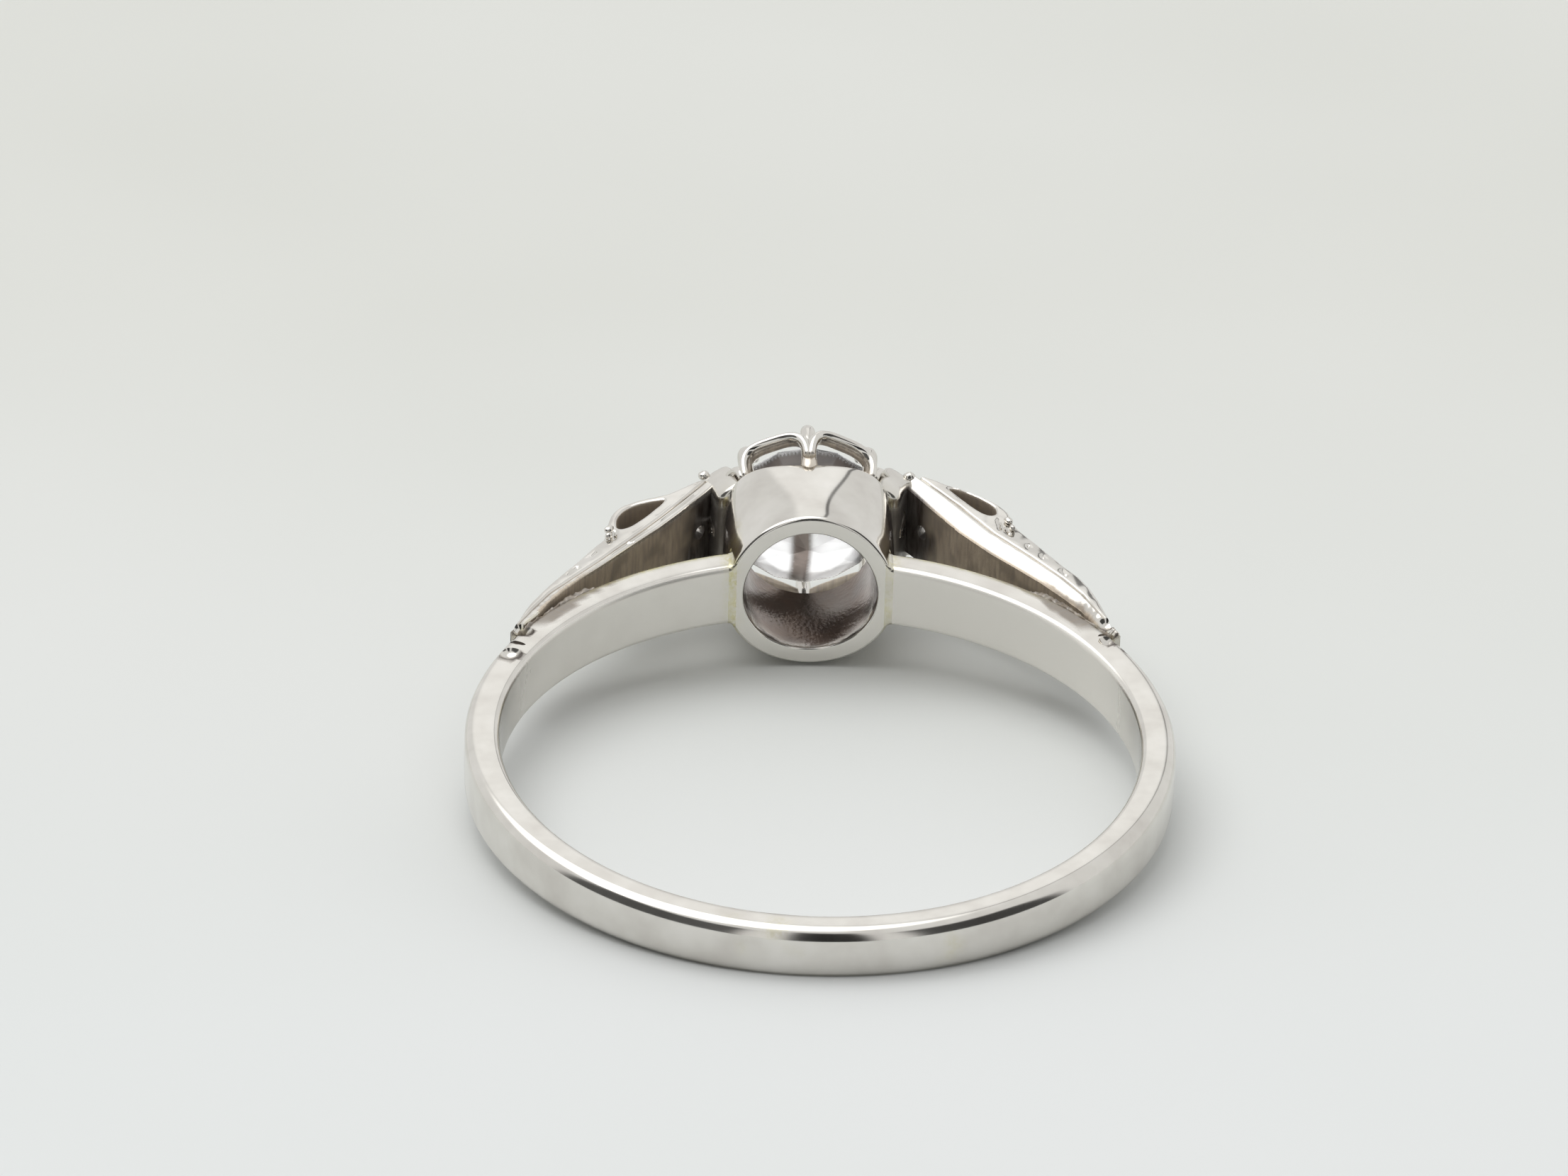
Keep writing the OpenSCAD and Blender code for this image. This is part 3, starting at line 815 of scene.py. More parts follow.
def splitFaces(points, faces, longest):
    # Flat facets divided into small triangles, so that painted marks can vary across them
    mesh = bmesh.new()
    verts = [mesh.verts.new(p) for p in points]
    for face in faces:
        mesh.faces.new([verts[i] for i in face])
    bmesh.ops.triangulate(mesh, faces=mesh.faces)
    for _ in range(5):
        longEdges = [e for e in mesh.edges if e.calc_length() > longest]
        if longEdges:
            bmesh.ops.subdivide_edges(mesh, edges=longEdges, cuts=1)
            bmesh.ops.triangulate(mesh, faces=mesh.faces)
    return takeMesh(mesh)


stone = {
    "diameter": 4.35, "girdle": 0.06, "table": 0.57, "crown": 34.0, "pavilion": 40.5, "girdleAt": 12.6,
    "cell": 0.14, "stripeAt": -0.16,
}
points, faces = brilliant(stone["diameter"], stone["girdle"], stone["table"],
                          stone["crown"], stone["pavilion"])
turn = math.pi / claws   # a main facet's corner midway between two claws
turned = np.stack([points[:, 0] * math.cos(turn) - points[:, 1] * math.sin(turn),
                   points[:, 2] + stone["girdleAt"],
                   -points[:, 0] * math.sin(turn) - points[:, 1] * math.cos(turn)], 1)


def underGirdle(co):
    return fade(stone["girdleAt"] - 0.06, stone["girdleAt"], co[:, 1])


def stoneGrime(co):
    # Painted shade: shadows near the girdle on the upper side, a dark stripe across the middle and both
    # flanks
    rim = smooth(1.5, 1.8, np.hypot(co[:, 0], co[:, 2])) * smooth(-0.2, 0.4, co[:, 2])
    stripe = fade(0.18, 0.4, np.abs(co[:, 0] - stone["stripeAt"]))
    flanks = smooth(1.2, 1.65, np.abs(co[:, 0]))
    return underGirdle(co) * np.maximum(rim, np.maximum(stripe, flanks))


turned, faces = splitFaces(turned, faces, stone["cell"])
# Under the girdle the film blurs the stone and carries its painted glow, and painted shade darkens parts of
# it
addPiece("centre_diamond", turned, faces, diamond, ["centre_stone"], sharp=2,
         marks={"haze": underGirdle, "grime": stoneGrime})

sideStone = {
    "diameter": 1.1, "girdle": 0.03, "table": 0.6, "s": 0.5, "h": {"right": 0.8, "left": 0.5}, "lean": 26,
    "grain": (0.13, 0.13, 0.14), "wellAt": 0.42, "wellDeep": 0.75, "drill": 0.42, "drillTo": (-2.4, 0.3),
}


def placeStone(points, sideName):
    # The stone's axis leans outwards from the arm
    side = sides[sideName]
    lean = math.radians(sideStone["lean"])
    s = sideStone["s"] + points[:, 0] * math.cos(lean) - points[:, 2] * math.sin(lean)
    h = sideStone["h"][sideName] + points[:, 0] * math.sin(lean) + points[:, 2] * math.cos(lean)
    return fromArm(np.stack([s, h, points[:, 1]], 1), side)


for sideName, side in sides.items():
    points, faces = brilliant(sideStone["diameter"], sideStone["girdle"], sideStone["table"],
                              stone["crown"], stone["pavilion"])
    addPiece("shoulder_diamond_" + sideName, placeStone(points, sideName), faces, diamond,
             ["side_stone_" + sideName], sharp=2)
    for k in range(4):
        a = math.pi * (k + 0.5) / 2
        at = sideStone["diameter"] / 2 + 0.02
        points, faces = ball((at * math.cos(a), at * math.sin(a), 0.05), sideStone["grain"],
                             rough=0.06, seed=k)
        addPiece("stone_grain_" + sideName + "_" + str(k + 1), placeStone(points, sideName), faces,
                 polishedGold, sharp=180)
print("stones made")


# Outlines of the shoulders in the arm's frame, as (s, h)
armShape = {
    "right": {
        "under": [(-1.1, -0.05), (0.36, -0.08), (1.3, -0.12), (2.7, -0.14), (4.0, -0.02), (5.0, 0.16),
                  (6.0, 0.32), (6.9, 0.4), (7.6, 0.42), (8.4, 0.3), (9.4, 0.1)],
        "groove": [(-1.1, 0.25), (0.4, 0.39), (1.8, 0.48), (3.5, 0.49), (4.85, 0.67), (6.25, 0.8),
                   (7.2, 0.79), (8.2, 0.6), (9.4, 0.42)],
    },
    "left": {
        "under": [(-1.1, -0.35), (0.7, -0.34), (1.9, -0.28), (2.9, -0.2), (4.0, -0.04), (5.0, 0.08),
                  (6.0, 0.22), (6.9, 0.3), (7.6, 0.3), (8.4, 0.2), (9.4, 0.02)],
        "groove": [(-1.1, -0.07), (1.5, 0.0), (2.45, 0.05), (3.4, 0.12), (3.9, 0.17), (5.0, 0.27),
                   (6.15, 0.42), (7.2, 0.56), (8.2, 0.48), (9.4, 0.36)],
    },
}

# The bottom end of both strips lies here, past the tail
tailEnd = 9.4
plateRound, armRound = 0.09, 0.06

# Short graver ticks behind the scrolls, as (s, h) of both ends
ticks = {
    "right": [(2.98, 1.02, 3.4, 0.82), (3.45, 0.95, 3.75, 0.86), (4.45, 0.96, 4.65, 0.9),
              (5.05, 1.0, 5.25, 0.94), (5.95, 1.0, 6.25, 0.96)],
    "left": [(3.55, 0.8, 3.95, 0.55), (3.75, 0.9, 4.0, 0.72), (4.7, 0.62, 5.2, 0.6),
             (5.7, 0.64, 6.15, 0.62)],
}

plateShape = {
    "right": {
        "top": [(0.1, 0.51), (0.44, 0.7), (0.71, 0.83), (1.1, 1.09), (1.6, 1.35), (2.1, 1.53), (2.5, 1.58),
                (2.83, 1.52), (3.11, 1.39), (3.35, 1.31), (3.68, 1.3), (4.0, 1.31), (4.95, 1.28), (5.8, 1.25),
                (6.4, 1.28), (7.0, 1.19), (7.5, 1.06), (8.0, 0.88), (8.57, 0.66), (9.0, 0.52), (9.4, 0.44)],
        "eye": [(0.98, 0.8), (1.1, 0.96), (1.35, 1.11), (1.65, 1.23), (1.98, 1.34), (2.26, 1.36),
                (2.49, 1.29), (2.62, 1.14), (2.6, 0.97), (2.43, 0.86), (2.05, 0.8), (1.53, 0.78),
                (1.2, 0.77)],
    },
    "left": {
        "top": [(0.15, 0.12), (0.45, 0.25), (0.85, 0.4), (1.2, 0.56), (1.44, 0.78), (1.68, 1.0), (1.92, 1.19),
                (2.26, 1.35), (2.6, 1.39), (2.92, 1.34), (3.3, 1.19), (3.62, 1.04), (3.9, 0.9), (4.14, 0.85),
                (4.6, 0.87), (5.4, 0.83), (5.9, 0.84), (6.65, 0.82), (7.25, 0.79), (7.86, 0.73), (8.3, 0.64),
                (8.8, 0.5), (9.4, 0.38)],
        "eye": [(1.54, 0.47), (1.65, 0.64), (1.81, 0.81), (2.13, 1.05), (2.5, 1.16), (2.87, 1.12),
                (3.19, 0.96), (3.35, 0.8), (3.32, 0.65), (3.09, 0.53), (2.65, 0.46), (2.18, 0.44),
                (1.8, 0.43)],
    },
}


def resample(loop, step):
    loop = np.asarray(loop, float)
    closed = np.vstack([loop, loop[:1]])
    gaps = np.hypot(*(closed[1:] - closed[:-1]).T)
    out = []
    for p, q, gap in zip(closed[:-1], closed[1:], gaps):
        parts = max(1, int(round(gap / step)))
        out += [p + (q - p) * k / parts for k in range(parts)]
    return np.array(out)


def curveThrough(points, closed=False, steps=8):
    # Smooth curve through the points
    p = np.asarray(points, float)
    n = len(p)
    out = []
    for i in range(n if closed else n - 1):
        a = p[(i - 1) % n] if closed else p[max(i - 1, 0)]
        b, c = p[i], p[(i + 1) % n]
        d = p[(i + 2) % n] if closed else p[min(i + 2, n - 1)]
        for k in range(steps):
            t = k / steps
            out.append(0.5 * (2 * b + (c - a) * t + (2 * a - 5 * b + 4 * c - d) * t * t
                              + (3 * b - a - 3 * c + d) * t ** 3))
    if not closed:
        out.append(p[-1])
    return np.array(out)


def inside(points, loop):
    x, y = points[:, 0], points[:, 1]
    result = np.zeros(len(points), bool)
    for (x1, y1), (x2, y2) in zip(loop, np.roll(loop, -1, 0)):
        crosses = (y1 > y) != (y2 > y)
        if crosses.any():
            result ^= crosses & (x < (x2 - x1) * (y - y1) / ((y2 - y1) or 1e-12) + x1)
    return result


def edgeDistance(points, loops):
    best = np.full(len(points), 1e9)
    for loop in loops:
        for a, b in zip(loop, np.roll(loop, -1, 0)):
            d = b - a
            t = np.clip(((points - a) @ d) / max(d @ d, 1e-12), 0, 1)
            best = np.minimum(best, np.hypot(*(points - (a + t[:, None] * d)).T))
    return best


def shoulderHalfWidth(s, h):
    # A shoulder widens evenly from the band towards the crown
    y = armY + s * armSin + h * armCos
    return headHalf + (shoulder["crownHalf"] - headHalf) * np.clip((y - footY) / (armY - footY), 0, 1.1)


def slab(outline, holes, profile, engrave, gridStep=0.075, loopStep=0.05, rows=12):
    # A cut-out plate of even width with shaped edges: profile(s, h, distance) is how far its two
    # faces drop towards the edges, and engrave(s, h) is how deep its upper face is cut
    loops = [resample(outline, loopStep)] + [resample(hole, loopStep) for hole in holes]
    low, high = loops[0].min(0), loops[0].max(0)

    def solid(points):
        good = inside(points, loops[0])
        for hole in loops[1:]:
            good &= ~inside(points, hole)
        return good

    def keep(points, gap):
        points = points[solid(points)]
        return points[edgeDistance(points, loops) > gap] if len(points) else points

    # Points follow the edges closely and fill the rest as a grid
    extra = []
    for loop in loops:
        ahead = np.roll(loop, -1, 0) - np.roll(loop, 1, 0)
        ahead /= np.maximum(np.hypot(*ahead.T), 1e-9)[:, None]
        normal = np.stack([-ahead[:, 1], ahead[:, 0]], 1)
        for gap in (0.012, 0.03, 0.055, 0.085, 0.12):
            for way in (1, -1):
                ring = keep(loop + way * gap * normal, gap * 0.93)
                if len(ring):
                    extra.append(ring)
    columns, lines = np.arange(low[0], high[0], gridStep), np.arange(low[1], high[1], gridStep)
    grid = np.stack(np.meshgrid(columns, lines), -1)
    extra.append(keep(grid.reshape(-1, 2) + 0.003, 0.145))
    edges, start = [], 0
    for loop in loops:
        edges += [(start + k, start + (k + 1) % len(loop)) for k in range(len(loop))]
        start += len(loop)
    flat = [Vector(p) for p in np.concatenate(loops + extra)]
    verts, _, triangles, *_ = delaunay_2d_cdt(flat, edges, [], 0, 1e-6)
    verts = np.array([v[:] for v in verts])
    middles = np.array([verts[list(t)].mean(0) for t in triangles])
    triangles = [tuple(t) for t, good in zip(triangles, solid(middles)) if good]
    distance = edgeDistance(verts, loops)
    s, h = verts[:, 0], verts[:, 1]
    drop = profile(s, h, distance)
    halfWidth = shoulderHalfWidth(s, h)
    top = halfWidth - drop - engrave(s, h) * smooth(0.0, 0.02, distance)
    count = len(verts)
    points = [np.stack([s, h, top], 1), np.stack([s, h, -(halfWidth - drop)], 1)]
    faces = list(triangles) + [tuple(i + count for i in t[::-1]) for t in triangles]
    # Walls of several rows join the two faces round each loop
    start = 2 * count
    for loop in loops:
        ids = [int(np.argmin(((verts - p) ** 2).sum(1))) for p in loop]
        n = len(ids)
        levels = []
        for row in range(1, rows):
            t = row / rows
            z = top[ids] * (1 - t) - (halfWidth[ids] - drop[ids]) * t
            points.append(np.stack([verts[ids, 0], verts[ids, 1], z], 1))
            levels.append(list(range(start, start + n)))
            start += n
        stack = [ids] + levels + [[i + count for i in ids]]
        for upper, lower in zip(stack[:-1], stack[1:]):
            for k in range(n):
                faces.append((upper[k], lower[k], lower[(k + 1) % n], upper[(k + 1) % n]))
    return np.concatenate(points), faces


def roundDrop(distance, radius):
    d = np.clip(distance, 0, radius)
    return radius - np.sqrt(np.maximum(radius ** 2 - (radius - d) ** 2, 0))


def armOutline(shape):
    # Along the underside to the band, along the band to the tail and back along the groove
    lower = [(s, max(lerpTable(shape["under"], s), float(bandTopInArm(s)) - 0.004))
             for s in np.arange(0, tailEnd + 0.02, 0.15)]
    upper = [(s, lerpTable(shape["groove"], s)) for s in np.arange(tailEnd, -0.2, -0.15)]
    # The end at the crown is cut back at a slant
    upper = [p for p in upper if p[0] >= -1.53 * p[1] + 0.02]
    return np.array(lower + upper)


def buildArm(sideName):
    groove, under = armShape[sideName]["groove"], armShape[sideName]["under"]

    def profile(s, h, distance):
        drop = roundDrop(distance, armRound)
        if sideName == "left":
            return drop + 0.15 * np.clip(h - lerpTable(under, s), 0, 1)
        # A broad roll that falls away towards the underside
        low = np.maximum(lerpTable(under, s), bandTopInArm(s))
        wide = np.clip(lerpTable(groove, s) - low, 0.12, 0.7)
        t = np.clip((h - low) / wide, 0, 1)
        return np.maximum(drop, 0.22 * (1 - t) ** 1.7) + 0.04 * smooth(0.78, 1.0, t)

    def engrave(s, h):
        # A fine line scored along the middle of the roll, and rough filing near the tail
        level = lerpTable(groove, s) * 0.62 + 0.38 * lerpTable(under, s)
        line = 0.025 * np.exp(-((h - level) / 0.022) ** 2) * smooth(0.4, 1.2, s) * fade(6.0, 6.8, s)
        filing = lumps(np.stack([s, h, s * 0], 1), 0.16, 3.0)
        rough = 0.02 * smooth(5.6, 7.0, s) * filing * fade(0.25, 0.6, h - bandTopInArm(s))
        # A crack runs across the left arm
        crackAt = 3.95 + 0.35 * (h - 0.1)
        crack = 0.04 * np.exp(-((s - crackAt) / 0.02) ** 2) if sideName == "left" else 0.0
        return line + rough + crack

    return slab(armOutline(armShape[sideName]), [], profile, engrave)


def buildPlate(sideName):
    shape, groove = plateShape[sideName], armShape[sideName]["groove"]
    top = curveThrough(shape["top"], steps=5)
    lower = np.array([(s, lerpTable(groove, s) - 0.01)
                      for s in np.arange(shape["top"][0][0] + 0.02, tailEnd - 0.01, 0.12)])
    outline = np.vstack([lower, top[::-1]])
    eye = curveThrough(shape["eye"], closed=True, steps=4)

    def profile(s, h, distance):
        # The plate leans a little towards its outer edge behind the scroll
        back = smooth(2.9, 4.2, s) * fade(8.4, 9.3, s)
        rise = np.clip(h - lerpTable(groove, s), 0, 1.2)
        return roundDrop(distance, plateRound) + 0.05 * back * smooth(0.0, 0.7, rise - 0.1) + 0.15 * rise

    def engrave(s, h):
        depth = 0.0
        for s1, h1, s2, h2 in ticks[sideName]:
            ds, dh = s2 - s1, h2 - h1
            t = np.clip(((s - s1) * ds + (h - h1) * dh) / (ds * ds + dh * dh), 0, 1)
            gap = np.hypot(s - s1 - t * ds, h - h1 - t * dh)
            depth = depth + 0.06 * np.exp(-(gap / 0.035) ** 2)
        # A second line along the left plate
        if sideName == "left":
            level = lerpTable(groove, s) + 0.14
            depth = depth + 0.02 * np.exp(-((h - level) / 0.025) ** 2) * fade(3.6, 4.2, s)
        return depth + 0.008 * lumps(np.stack([s, h, s * 0], 1), 0.35, 9.0)

    return slab(outline, [eye], profile, engrave)


def shoulderGrime(sideName):
    # Grime under the arm and at its tail, darker along the groove between arm and plate, and painted shade in
    # the graver cuts
    def paint(co):
        s, h, z = toArm(co, sides[sideName])
        low = lerpTable(armShape[sideName]["under"], s)
        edge = shoulderHalfWidth(s, h)
        under = fade(0.03, 0.09, h - low) * fade(edge - 0.1, edge - 0.03, z)
        tail = 0.9 * smooth(5.2, 6.4, s) * fade(0.05, 0.14, h - low + 0.06 * lumps(co, 0.2, 2.0)) * (s < 8.2)
        apart = np.abs(h - lerpTable(armShape[sideName]["groove"], s) + 0.005)
        groove = 0.8 * fade(0.012, 0.035, apart) * (s > 0.6) * (s < 7.4)
        darkening = np.maximum(np.maximum(under, tail), groove)
        return np.maximum(darkening, scoopShade(co, sides[sideName]))
    return paint


def shoulderSoot(sideName):
    def paint(co):
        s, h, z = toArm(co, sides[sideName])
        # Painted shade in the grime: darkest near the crown, in the deep window, with random patches, and in
        # the graver cuts
        dark = 0.9 * fade(0.9, 2.0, s + 0.4 * lumps(co, 0.5, 3.0))
        patches = 0.3 * smooth(0.1, 0.4, lumps(co, 0.6, 1.0))
        return np.maximum(0.1 + dark + patches, scoopShade(co, sides[sideName]))
    return paint


def shoulderStain(sideName):
    def paint(co):
        s, h, z = toArm(co, sides[sideName])
        edge = smooth(4.0, 6.0, s) * fade(0.02, 0.12, h - np.maximum(bandTopInArm(s), 0))
        return 0.5 * edge * (0.5 + 0.5 * smooth(-0.2, 0.3, lumps(co, 0.3, 5.0)))
    return paint


def plateGrime(sideName):
    # Grime on the wall of the pierced leaf and round the small stone's seat, darkened with painted shade, and
    # painted shade in the graver cuts
    def paint(co):
        s, h, z = toArm(co, sides[sideName])
        loop = curveThrough(plateShape[sideName]["eye"], closed=True, steps=4)
        near = edgeDistance(np.stack([s, h], 1), [loop])
        edge = shoulderHalfWidth(s, h)
        wall = 0.95 * fade(0.012, 0.03, near) * fade(edge - 0.12, edge - 0.06, z)
        fromStone = np.hypot(s - sideStone["s"], h - sideStone["h"][sideName])
        seat = 0.5 * fade(0.5, 0.75, fromStone) * fade(0.4, 0.8, np.abs(z))
        return np.maximum(np.maximum(wall, seat), scoopShade(co, sides[sideName]))
    return paint


for sideName, side in sides.items():
    wellRadius = sideStone["diameter"] / 2 - 0.01
    well, wellFaces = ball((0, 0, sideStone["wellAt"]), (wellRadius, wellRadius, sideStone["wellDeep"]))
    wellCutter = addCutter("cutter_well_" + sideName, placeStone(well, sideName), wellFaces)
    turns = np.linspace(0, 2 * math.pi, 24, endpoint=False)
    drill, drillFaces = loft([np.column_stack([sideStone["drill"] / 2 * np.cos(turns),
                                               sideStone["drill"] / 2 * np.sin(turns), np.full(24, z)])
                              for z in sideStone["drillTo"]])
    drillCutter = addCutter("cutter_drill_" + sideName, placeStone(drill, sideName), drillFaces)
    points, faces = buildArm(sideName)
    addPiece("inner_arm_" + sideName, fromArm(points, side), faces, polishedGold,
             ["shoulder_arm_" + sideName], cutters=tailCutters[sideName] + [drillCutter],
             marks={"grime": shoulderGrime(sideName), "stain": shoulderStain(sideName),
                    "soot": shoulderSoot(sideName)})
    # The plate's grime is darkened evenly with painted shade
    points, faces = buildPlate(sideName)
    addPiece("scroll_plate_cut_" + sideName, fromArm(points, side), faces, polishedGold,
             ["scroll_plate_" + sideName], cutters=tailCutters[sideName] + [wellCutter, drillCutter],
             marks={"grime": plateGrime(sideName), "soot": lambda co: np.full(len(co), 0.45)})
    print("shoulder made:", sideName)

# Small beads left by the graver where each scroll ends
scrollBeads = {
    "right": [(3.2, 1.2, 0.11), (3.55, 1.08, 0.08)],
    "left": [(3.68, 0.9, 0.12), (3.95, 0.74, 0.09)],
}
for sideName, beads in scrollBeads.items():
    points, faces = joinParts([ball((s, h, float(shoulderHalfWidth(s, h)) - 0.03), (r * 1.3, r, 0.09),
                                    rough=0.15, seed=s) for s, h, r in beads])
    addPiece("scroll_beads_" + sideName, fromArm(points, sides[sideName]), faces, polishedGold,
             sharp=180)

# Solder block where each shoulder meets the crown: its outline as (x, y)
joint = {
    "outline": [(1.85, 11.5), (2.0, 12.2), (2.2, 12.75), (2.5, 12.9), (2.78, 12.78), (2.95, 12.55),
                (2.8, 12.36), (2.7, 12.1), (2.62, 11.75), (2.54, 11.45), (2.36, 11.3), (2.0, 11.36)],
    # half width along the finger, how much it spreads towards the crown, and the roundness of its ends
    "half": 1.22, "spread": 0.42, "round": 0.2, "rough": 0.006,
    "ends": [(1.0, 1.0), (0.99, 0.6), (0.96, 0.25), (0.88, 0.06)],   # shares of half width and inset
    "beadAt": (2.86, 12.72, 0.98), "bead": (0.17, 0.15, 0.13),
}


def buildJoint(side):
    loop = resample(curveThrough(joint["outline"], closed=True, steps=4), 0.06)
    away = loop - loop.mean(0)
    away = away / np.maximum(np.hypot(*away.T), 1e-6)[:, None]
    levels = [(-z, inset) for z, inset in joint["ends"]] + [(z, 0.0) for z in np.linspace(-0.75, 0.75, 15)]
    rings = []
    for z, inset in levels + joint["ends"][::-1]:
        ring = loop - away * joint["round"] * inset
        half = joint["half"] + joint["spread"] * smooth(0, 0.9, 2.85 - ring[:, 0])
        ring = np.column_stack([ring, z * half])
        rough = lumps(ring, 0.28, side * 3.0) + 0.5 * lumps(ring, 0.12, side * 7.0)
        ring[:, :2] += away * joint["rough"] * rough[:, None]
        rings.append(ring)
    x, y, z = joint["beadAt"]
    beads = [ball((x, y, z * face * joint["half"]), joint["bead"], rough=0.2, seed=side * 5.0)
             for face in (1, -1)]
    return joinParts([loft(rings)] + beads)


for sideName, side in sides.items():
    points, faces = buildJoint(side)
    points[:, 0] *= side
    # The joint's underside, facing the window, gets grime and painted shade; its top stays clean, with a
    # faint solder stain towards the finger
    addPiece("crown_joint_" + sideName, points, faces, solderGold, ["crown_solder_" + sideName],
             sharp=60, marks={
                 "stain": lambda co: 0.1 * fade(11.2, 12.0, co[:, 1]),
                 "soot": lambda co: fade(12.4, 12.7, co[:, 1]),
                 "grime": lambda co: 0.8 * fade(0.9, 1.1, co[:, 2]) * fade(12.3, 12.6, co[:, 1])})

# Rough solder that fills the corner between each arm and the band
crevice = {
    "from": 31.6, "to": 50.5, "z": 0.88, "steps": 90, "low": 0.03, "tall": 0.2, "sunk": 0.06, "under": 0.1,
    "coarse": 0.07, "coarseSize": 0.17, "fine": 0.03, "fineSize": 0.07,
}
for sideName, side in sides.items():
    rings = []
    for t in np.linspace(0, 1, crevice["steps"] + 1):
        angle = crevice["from"] + (crevice["to"] - crevice["from"]) * t
        swell = float(smooth(0.35, 0.82, t) * (1 - 0.9 * smooth(0.86, 1.0, t)))
        height = crevice["low"] + crevice["tall"] * swell
        ring = []
        for q in np.linspace(0, 2 * math.pi, 28, endpoint=False):
            rise = (height + crevice["sunk"]) * max(math.sin(q), 0) ** 0.7
            r = outerRadius - crevice["sunk"] + rise - crevice["under"] * max(-math.sin(q), 0)
            ring.append((*polar(r, angle), crevice["z"] * np.sign(math.cos(q)) * abs(math.cos(q)) ** 0.45))
        ring = np.array(ring)
        rough = (crevice["coarse"] * lumps(ring, crevice["coarseSize"], side * 4.0)
                 + crevice["fine"] * lumps(ring, crevice["fineSize"], side * 9.0))
        away = ring - ring.mean(0)
        away = away / np.maximum(np.linalg.norm(away, axis=1), 1e-6)[:, None]
        rings.append(ring + away * rough[:, None])
    points, faces = loft(rings)
    points[:, 0] *= side
    dull = lambda co: 0.75 + 0.25 * smooth(-0.2, 0.35, lumps(co, 0.2, 1.0))
    yellow = lambda co: 0.35 * smooth(-0.1, 0.4, lumps(co, 0.3, 6.0))
    addPiece("crevice_fill_" + sideName, points, faces, solderGold, ["shoulder_solder_" + sideName],
             sharp=180, marks={"grime": dull, "stain": yellow})
for cutter in [o for o in bpy.data.objects if o.name.startswith("cutter_")]:
    bpy.data.objects.remove(cutter)
print("shoulders made")


card = {
    "half": 1.2, "gap": 0.004 * mm, "mottle": 0.03, "rough": 0.9,
    "near": ["#DDE0DF", "#E0E2E2"], "far": ["#D6D7D2", "#DBDCD8"],
    "nearAt": -12 * mm, "farAt": 34 * mm, "backEdge": -9.3 * mm, "headFrom": 5 * mm,
}


def floorPlane():
    # The ring rests on the band's back edge and on the crown's lowest claw
    places = [v.co for v in bpy.data.objects["band"].data.vertices if v.co.y < card["backEdge"]]
    edge = min(places, key=lambda co: co.z + co.y)
    slope = 0
    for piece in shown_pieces():
        for v in piece.data.vertices:
            if v.co.y > card["headFrom"]:
                slope = min(slope, (v.co.z - edge.z) / (v.co.y - edge.y))
    return edge, slope


edge, slope = floorPlane()
across = Vector((1, 0, 0))
back = Vector((0, 1, slope)).normalized()
corners = [edge + (across * a + back * b) * card["half"] - Vector((0, 0, card["gap"]))
           for a, b in [(-1, -1), (1, -1), (1, 1), (-1, 1)]]
floorMesh = bpy.data.meshes.new("floor")
floorMesh.from_pydata(corners, [], [(0, 1, 2, 3)])
floor = bpy.data.objects.new("floor", floorMesh)
bpy.context.scene.collection.objects.link(floor)
# Matt card: an even pale sweep, with painted shade making it a little greyer far away
paper, tree, shader = startMaterial("matt_white_card")
place = addNode(tree, "TexCoord")
mottle = addNode(tree, "TexNoise", {"Scale": 1 / card["mottle"], "Detail": 2.0},
                 {"Vector": (place, "Object")})
near, far = (addRamp(tree, mottle, 0, list(zip((0.3, 0.7), card[label]))) for label in ("near", "far"))
axes = addNode(tree, "SeparateXYZ", None, {0: (place, "Object")})
farShade = addNode(tree, "MapRange", {1: card["nearAt"], 2: card["farAt"]}, {0: (axes, "Y")})
sweep = addNode(tree, "Mix", {"data_type": "RGBA"}, {"Factor": (farShade, 0), 6: (near, 0), 7: (far, 0)})
tree.links.new(sweep.outputs[2], shader.inputs["Base Color"])
shader.inputs["Roughness"].default_value = card["rough"]
floorMesh.materials.append(paper)

studio = {
    "sky": 0.88, "tint": "#FBFBFA", "seen": "#E4E5E2", "behindStones": 1.5,
    # azimuth from +Y towards +X, elevation, half widths of both, softness and brightness
    "patches": [
        (2, 33, 13, 11, 8, 1.12),         # bright paper behind the ring
        (15.5, 34, 1.3, 24, 1.2, 0.22),   # its dark edge
        (-128, 22, 32, 27, 8, 0.10),      # dark room to the left of the camera
        (128, 22, 24, 27, 8, 0.07),       # dark room to the right
        (-166, 25, 12, 32, 7, 0.9),       # window to the left of the camera
        (178, 28, 13, 34, 6, 0.03),       # the photographer and camera
    ],
    # azimuth, elevation, radius, softness and brightness of round soft lights
    "discs": [(-50, 68, 30, 7, 2.1)],
}


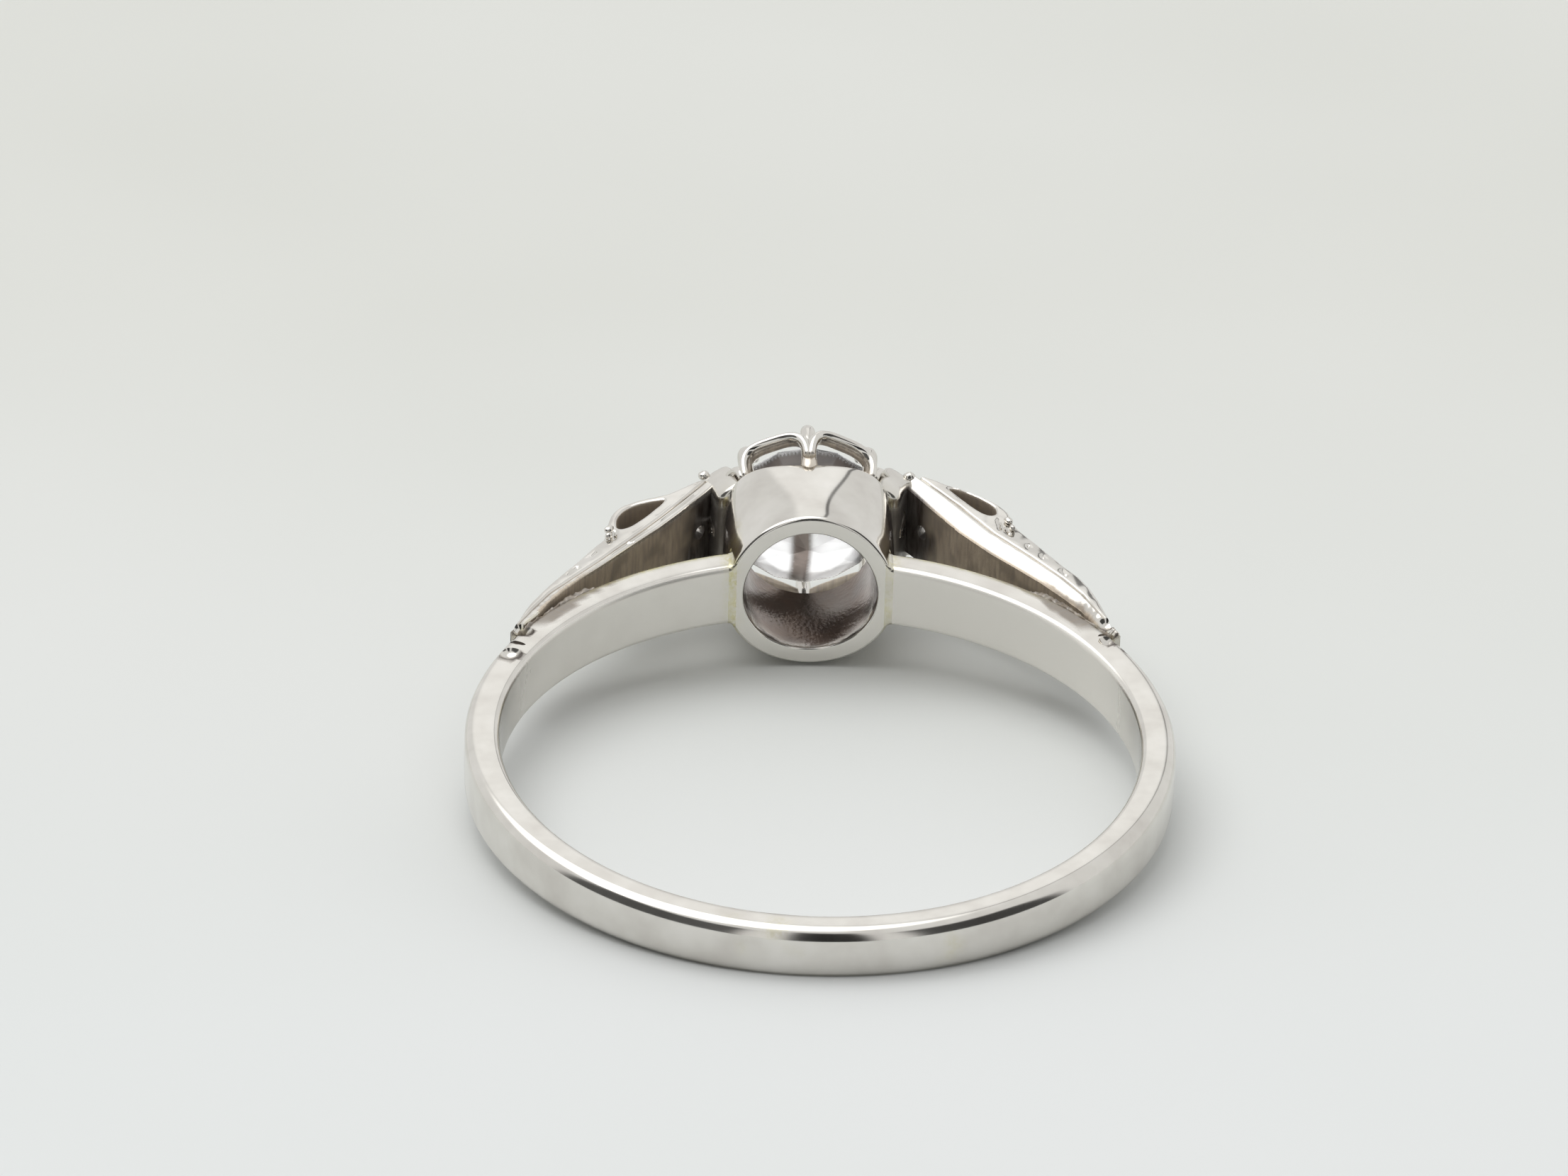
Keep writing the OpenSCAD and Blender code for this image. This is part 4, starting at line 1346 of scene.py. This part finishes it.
def buildWorld():
    world = bpy.data.worlds.new("studio")
    world.use_nodes = True
    bpy.context.scene.world = world
    tree = world.node_tree
    tree.nodes.clear()
    output = addNode(tree, "OutputWorld")
    place = addNode(tree, "TexCoord")
    axes = addNode(tree, "SeparateXYZ", None, {0: (place, "Generated")})
    azimuth = addNode(tree, "Math", {"operation": "ARCTAN2"}, {0: (axes, "X"), 1: (axes, "Y")})
    height = addNode(tree, "Math", {"operation": "ARCSINE"}, {0: (axes, "Z")})
    value = addNode(tree, "Math", {"operation": "ADD", 0: studio["sky"], 1: 0.0})

    def falloff(source, reach, soft):
        return addNode(tree, "MapRange", {"interpolation_type": "SMOOTHSTEP", 1: reach - soft / 2,
                                          2: reach + soft / 2, 3: 1.0, 4: 0.0}, {0: (source, 0)})

    def distanceTo(source, centre):
        apart = addNode(tree, "Math", {"operation": "SUBTRACT", 1: centre}, {0: (source, 0)})
        folded = addNode(tree, "Math", {"operation": "WRAP", 1: -math.pi, 2: math.pi}, {0: (apart, 0)})
        return addNode(tree, "Math", {"operation": "ABSOLUTE"}, {0: (folded, 0)})

    def blendTo(mask, level):
        mix = addNode(tree, "Mix", None, {0: (mask, 0), 2: (value, 0)})
        mix.inputs[3].default_value = level
        return mix

    for *angles, level in studio["patches"]:
        turn, rise, wide, tall, soft = (math.radians(a) for a in angles)
        mask = addNode(tree, "Math", {"operation": "MULTIPLY"},
                       {0: (falloff(distanceTo(azimuth, turn), wide, soft), 0),
                        1: (falloff(distanceTo(height, rise), tall, soft), 0)})
        value = blendTo(mask, level)
    for *angles, level in studio["discs"]:
        turn, rise, radius, soft = (math.radians(a) for a in angles)
        aim = (math.sin(turn) * math.cos(rise), math.cos(turn) * math.cos(rise), math.sin(rise))
        near = addNode(tree, "VectorMath", {"operation": "DOT_PRODUCT", 1: aim}, {0: (place, "Generated")})
        apart = addNode(tree, "Math", {"operation": "ARCCOSINE"}, {0: (near, "Value")})
        value = blendTo(falloff(apart, radius, soft), level)
    # Light that leaves the stones comes from an even sky, so that they stay bright
    lightPath = addNode(tree, "LightPath")
    through = addNode(tree, "Mix", None, {0: (lightPath, "Is Transmission Ray"), 2: (value, 0)})
    through.inputs[3].default_value = studio["behindStones"]
    shade = addNode(tree, "Background", {"Color": linear(studio["tint"])}, {"Strength": (through, 0)})
    plain = addNode(tree, "Background", {"Color": linear(studio["seen"]), "Strength": 1.0})
    mix = addNode(tree, "MixShader", None, {0: (lightPath, "Is Camera Ray"), 1: (shade, 0), 2: (plain, 0)})
    tree.links.new(mix.outputs[0], output.inputs[0])


buildWorld()

lights = {
    # place and aim in metres, size and power
    "overhead": {"at": (-0.12, 0.05, 0.30), "size": 0.22, "power": 0.1},
}
for name, setting in lights.items():
    data = bpy.data.lights.new(name, "AREA")
    data.size = setting["size"]
    data.energy = setting["power"]
    lamp = bpy.data.objects.new(name, data)
    lamp.location = setting["at"]
    lamp.rotation_euler = (Vector((0, 0, 0)) - lamp.location).to_track_quat("-Z", "Y").to_euler()
    bpy.context.scene.collection.objects.link(lamp)

cameraSet = {
    "at": (-8.24, -171.54, 110.02), "down": 31.38, "yaw": 2.39, "roll": 1.66, "lens": 176.25, "sensor": 36,
}
data = bpy.data.cameras.new("camera")
data.lens = cameraSet["lens"]
data.sensor_width = cameraSet["sensor"]
data.clip_start = 0.01
data.clip_end = 5
camera = bpy.data.objects.new("camera", data)
down, yaw, roll = (math.radians(cameraSet[k]) for k in ("down", "yaw", "roll"))
ahead = Vector((math.sin(yaw) * math.cos(down), math.cos(yaw) * math.cos(down), -math.sin(down)))
level = ahead.cross(Vector((0, 0, 1))).normalized()
upward = level.cross(ahead)
rightward = math.cos(roll) * level + math.sin(roll) * upward
upward = -math.sin(roll) * level + math.cos(roll) * upward
camera.matrix_world = Matrix.Translation(Vector(cameraSet["at"]) * mm) @ Matrix(
    (rightward, upward, -ahead)).transposed().to_4x4()
bpy.context.scene.collection.objects.link(camera)
bpy.context.scene.camera = camera
bpy.context.scene.view_settings.view_transform = "Standard"
print("studio made")
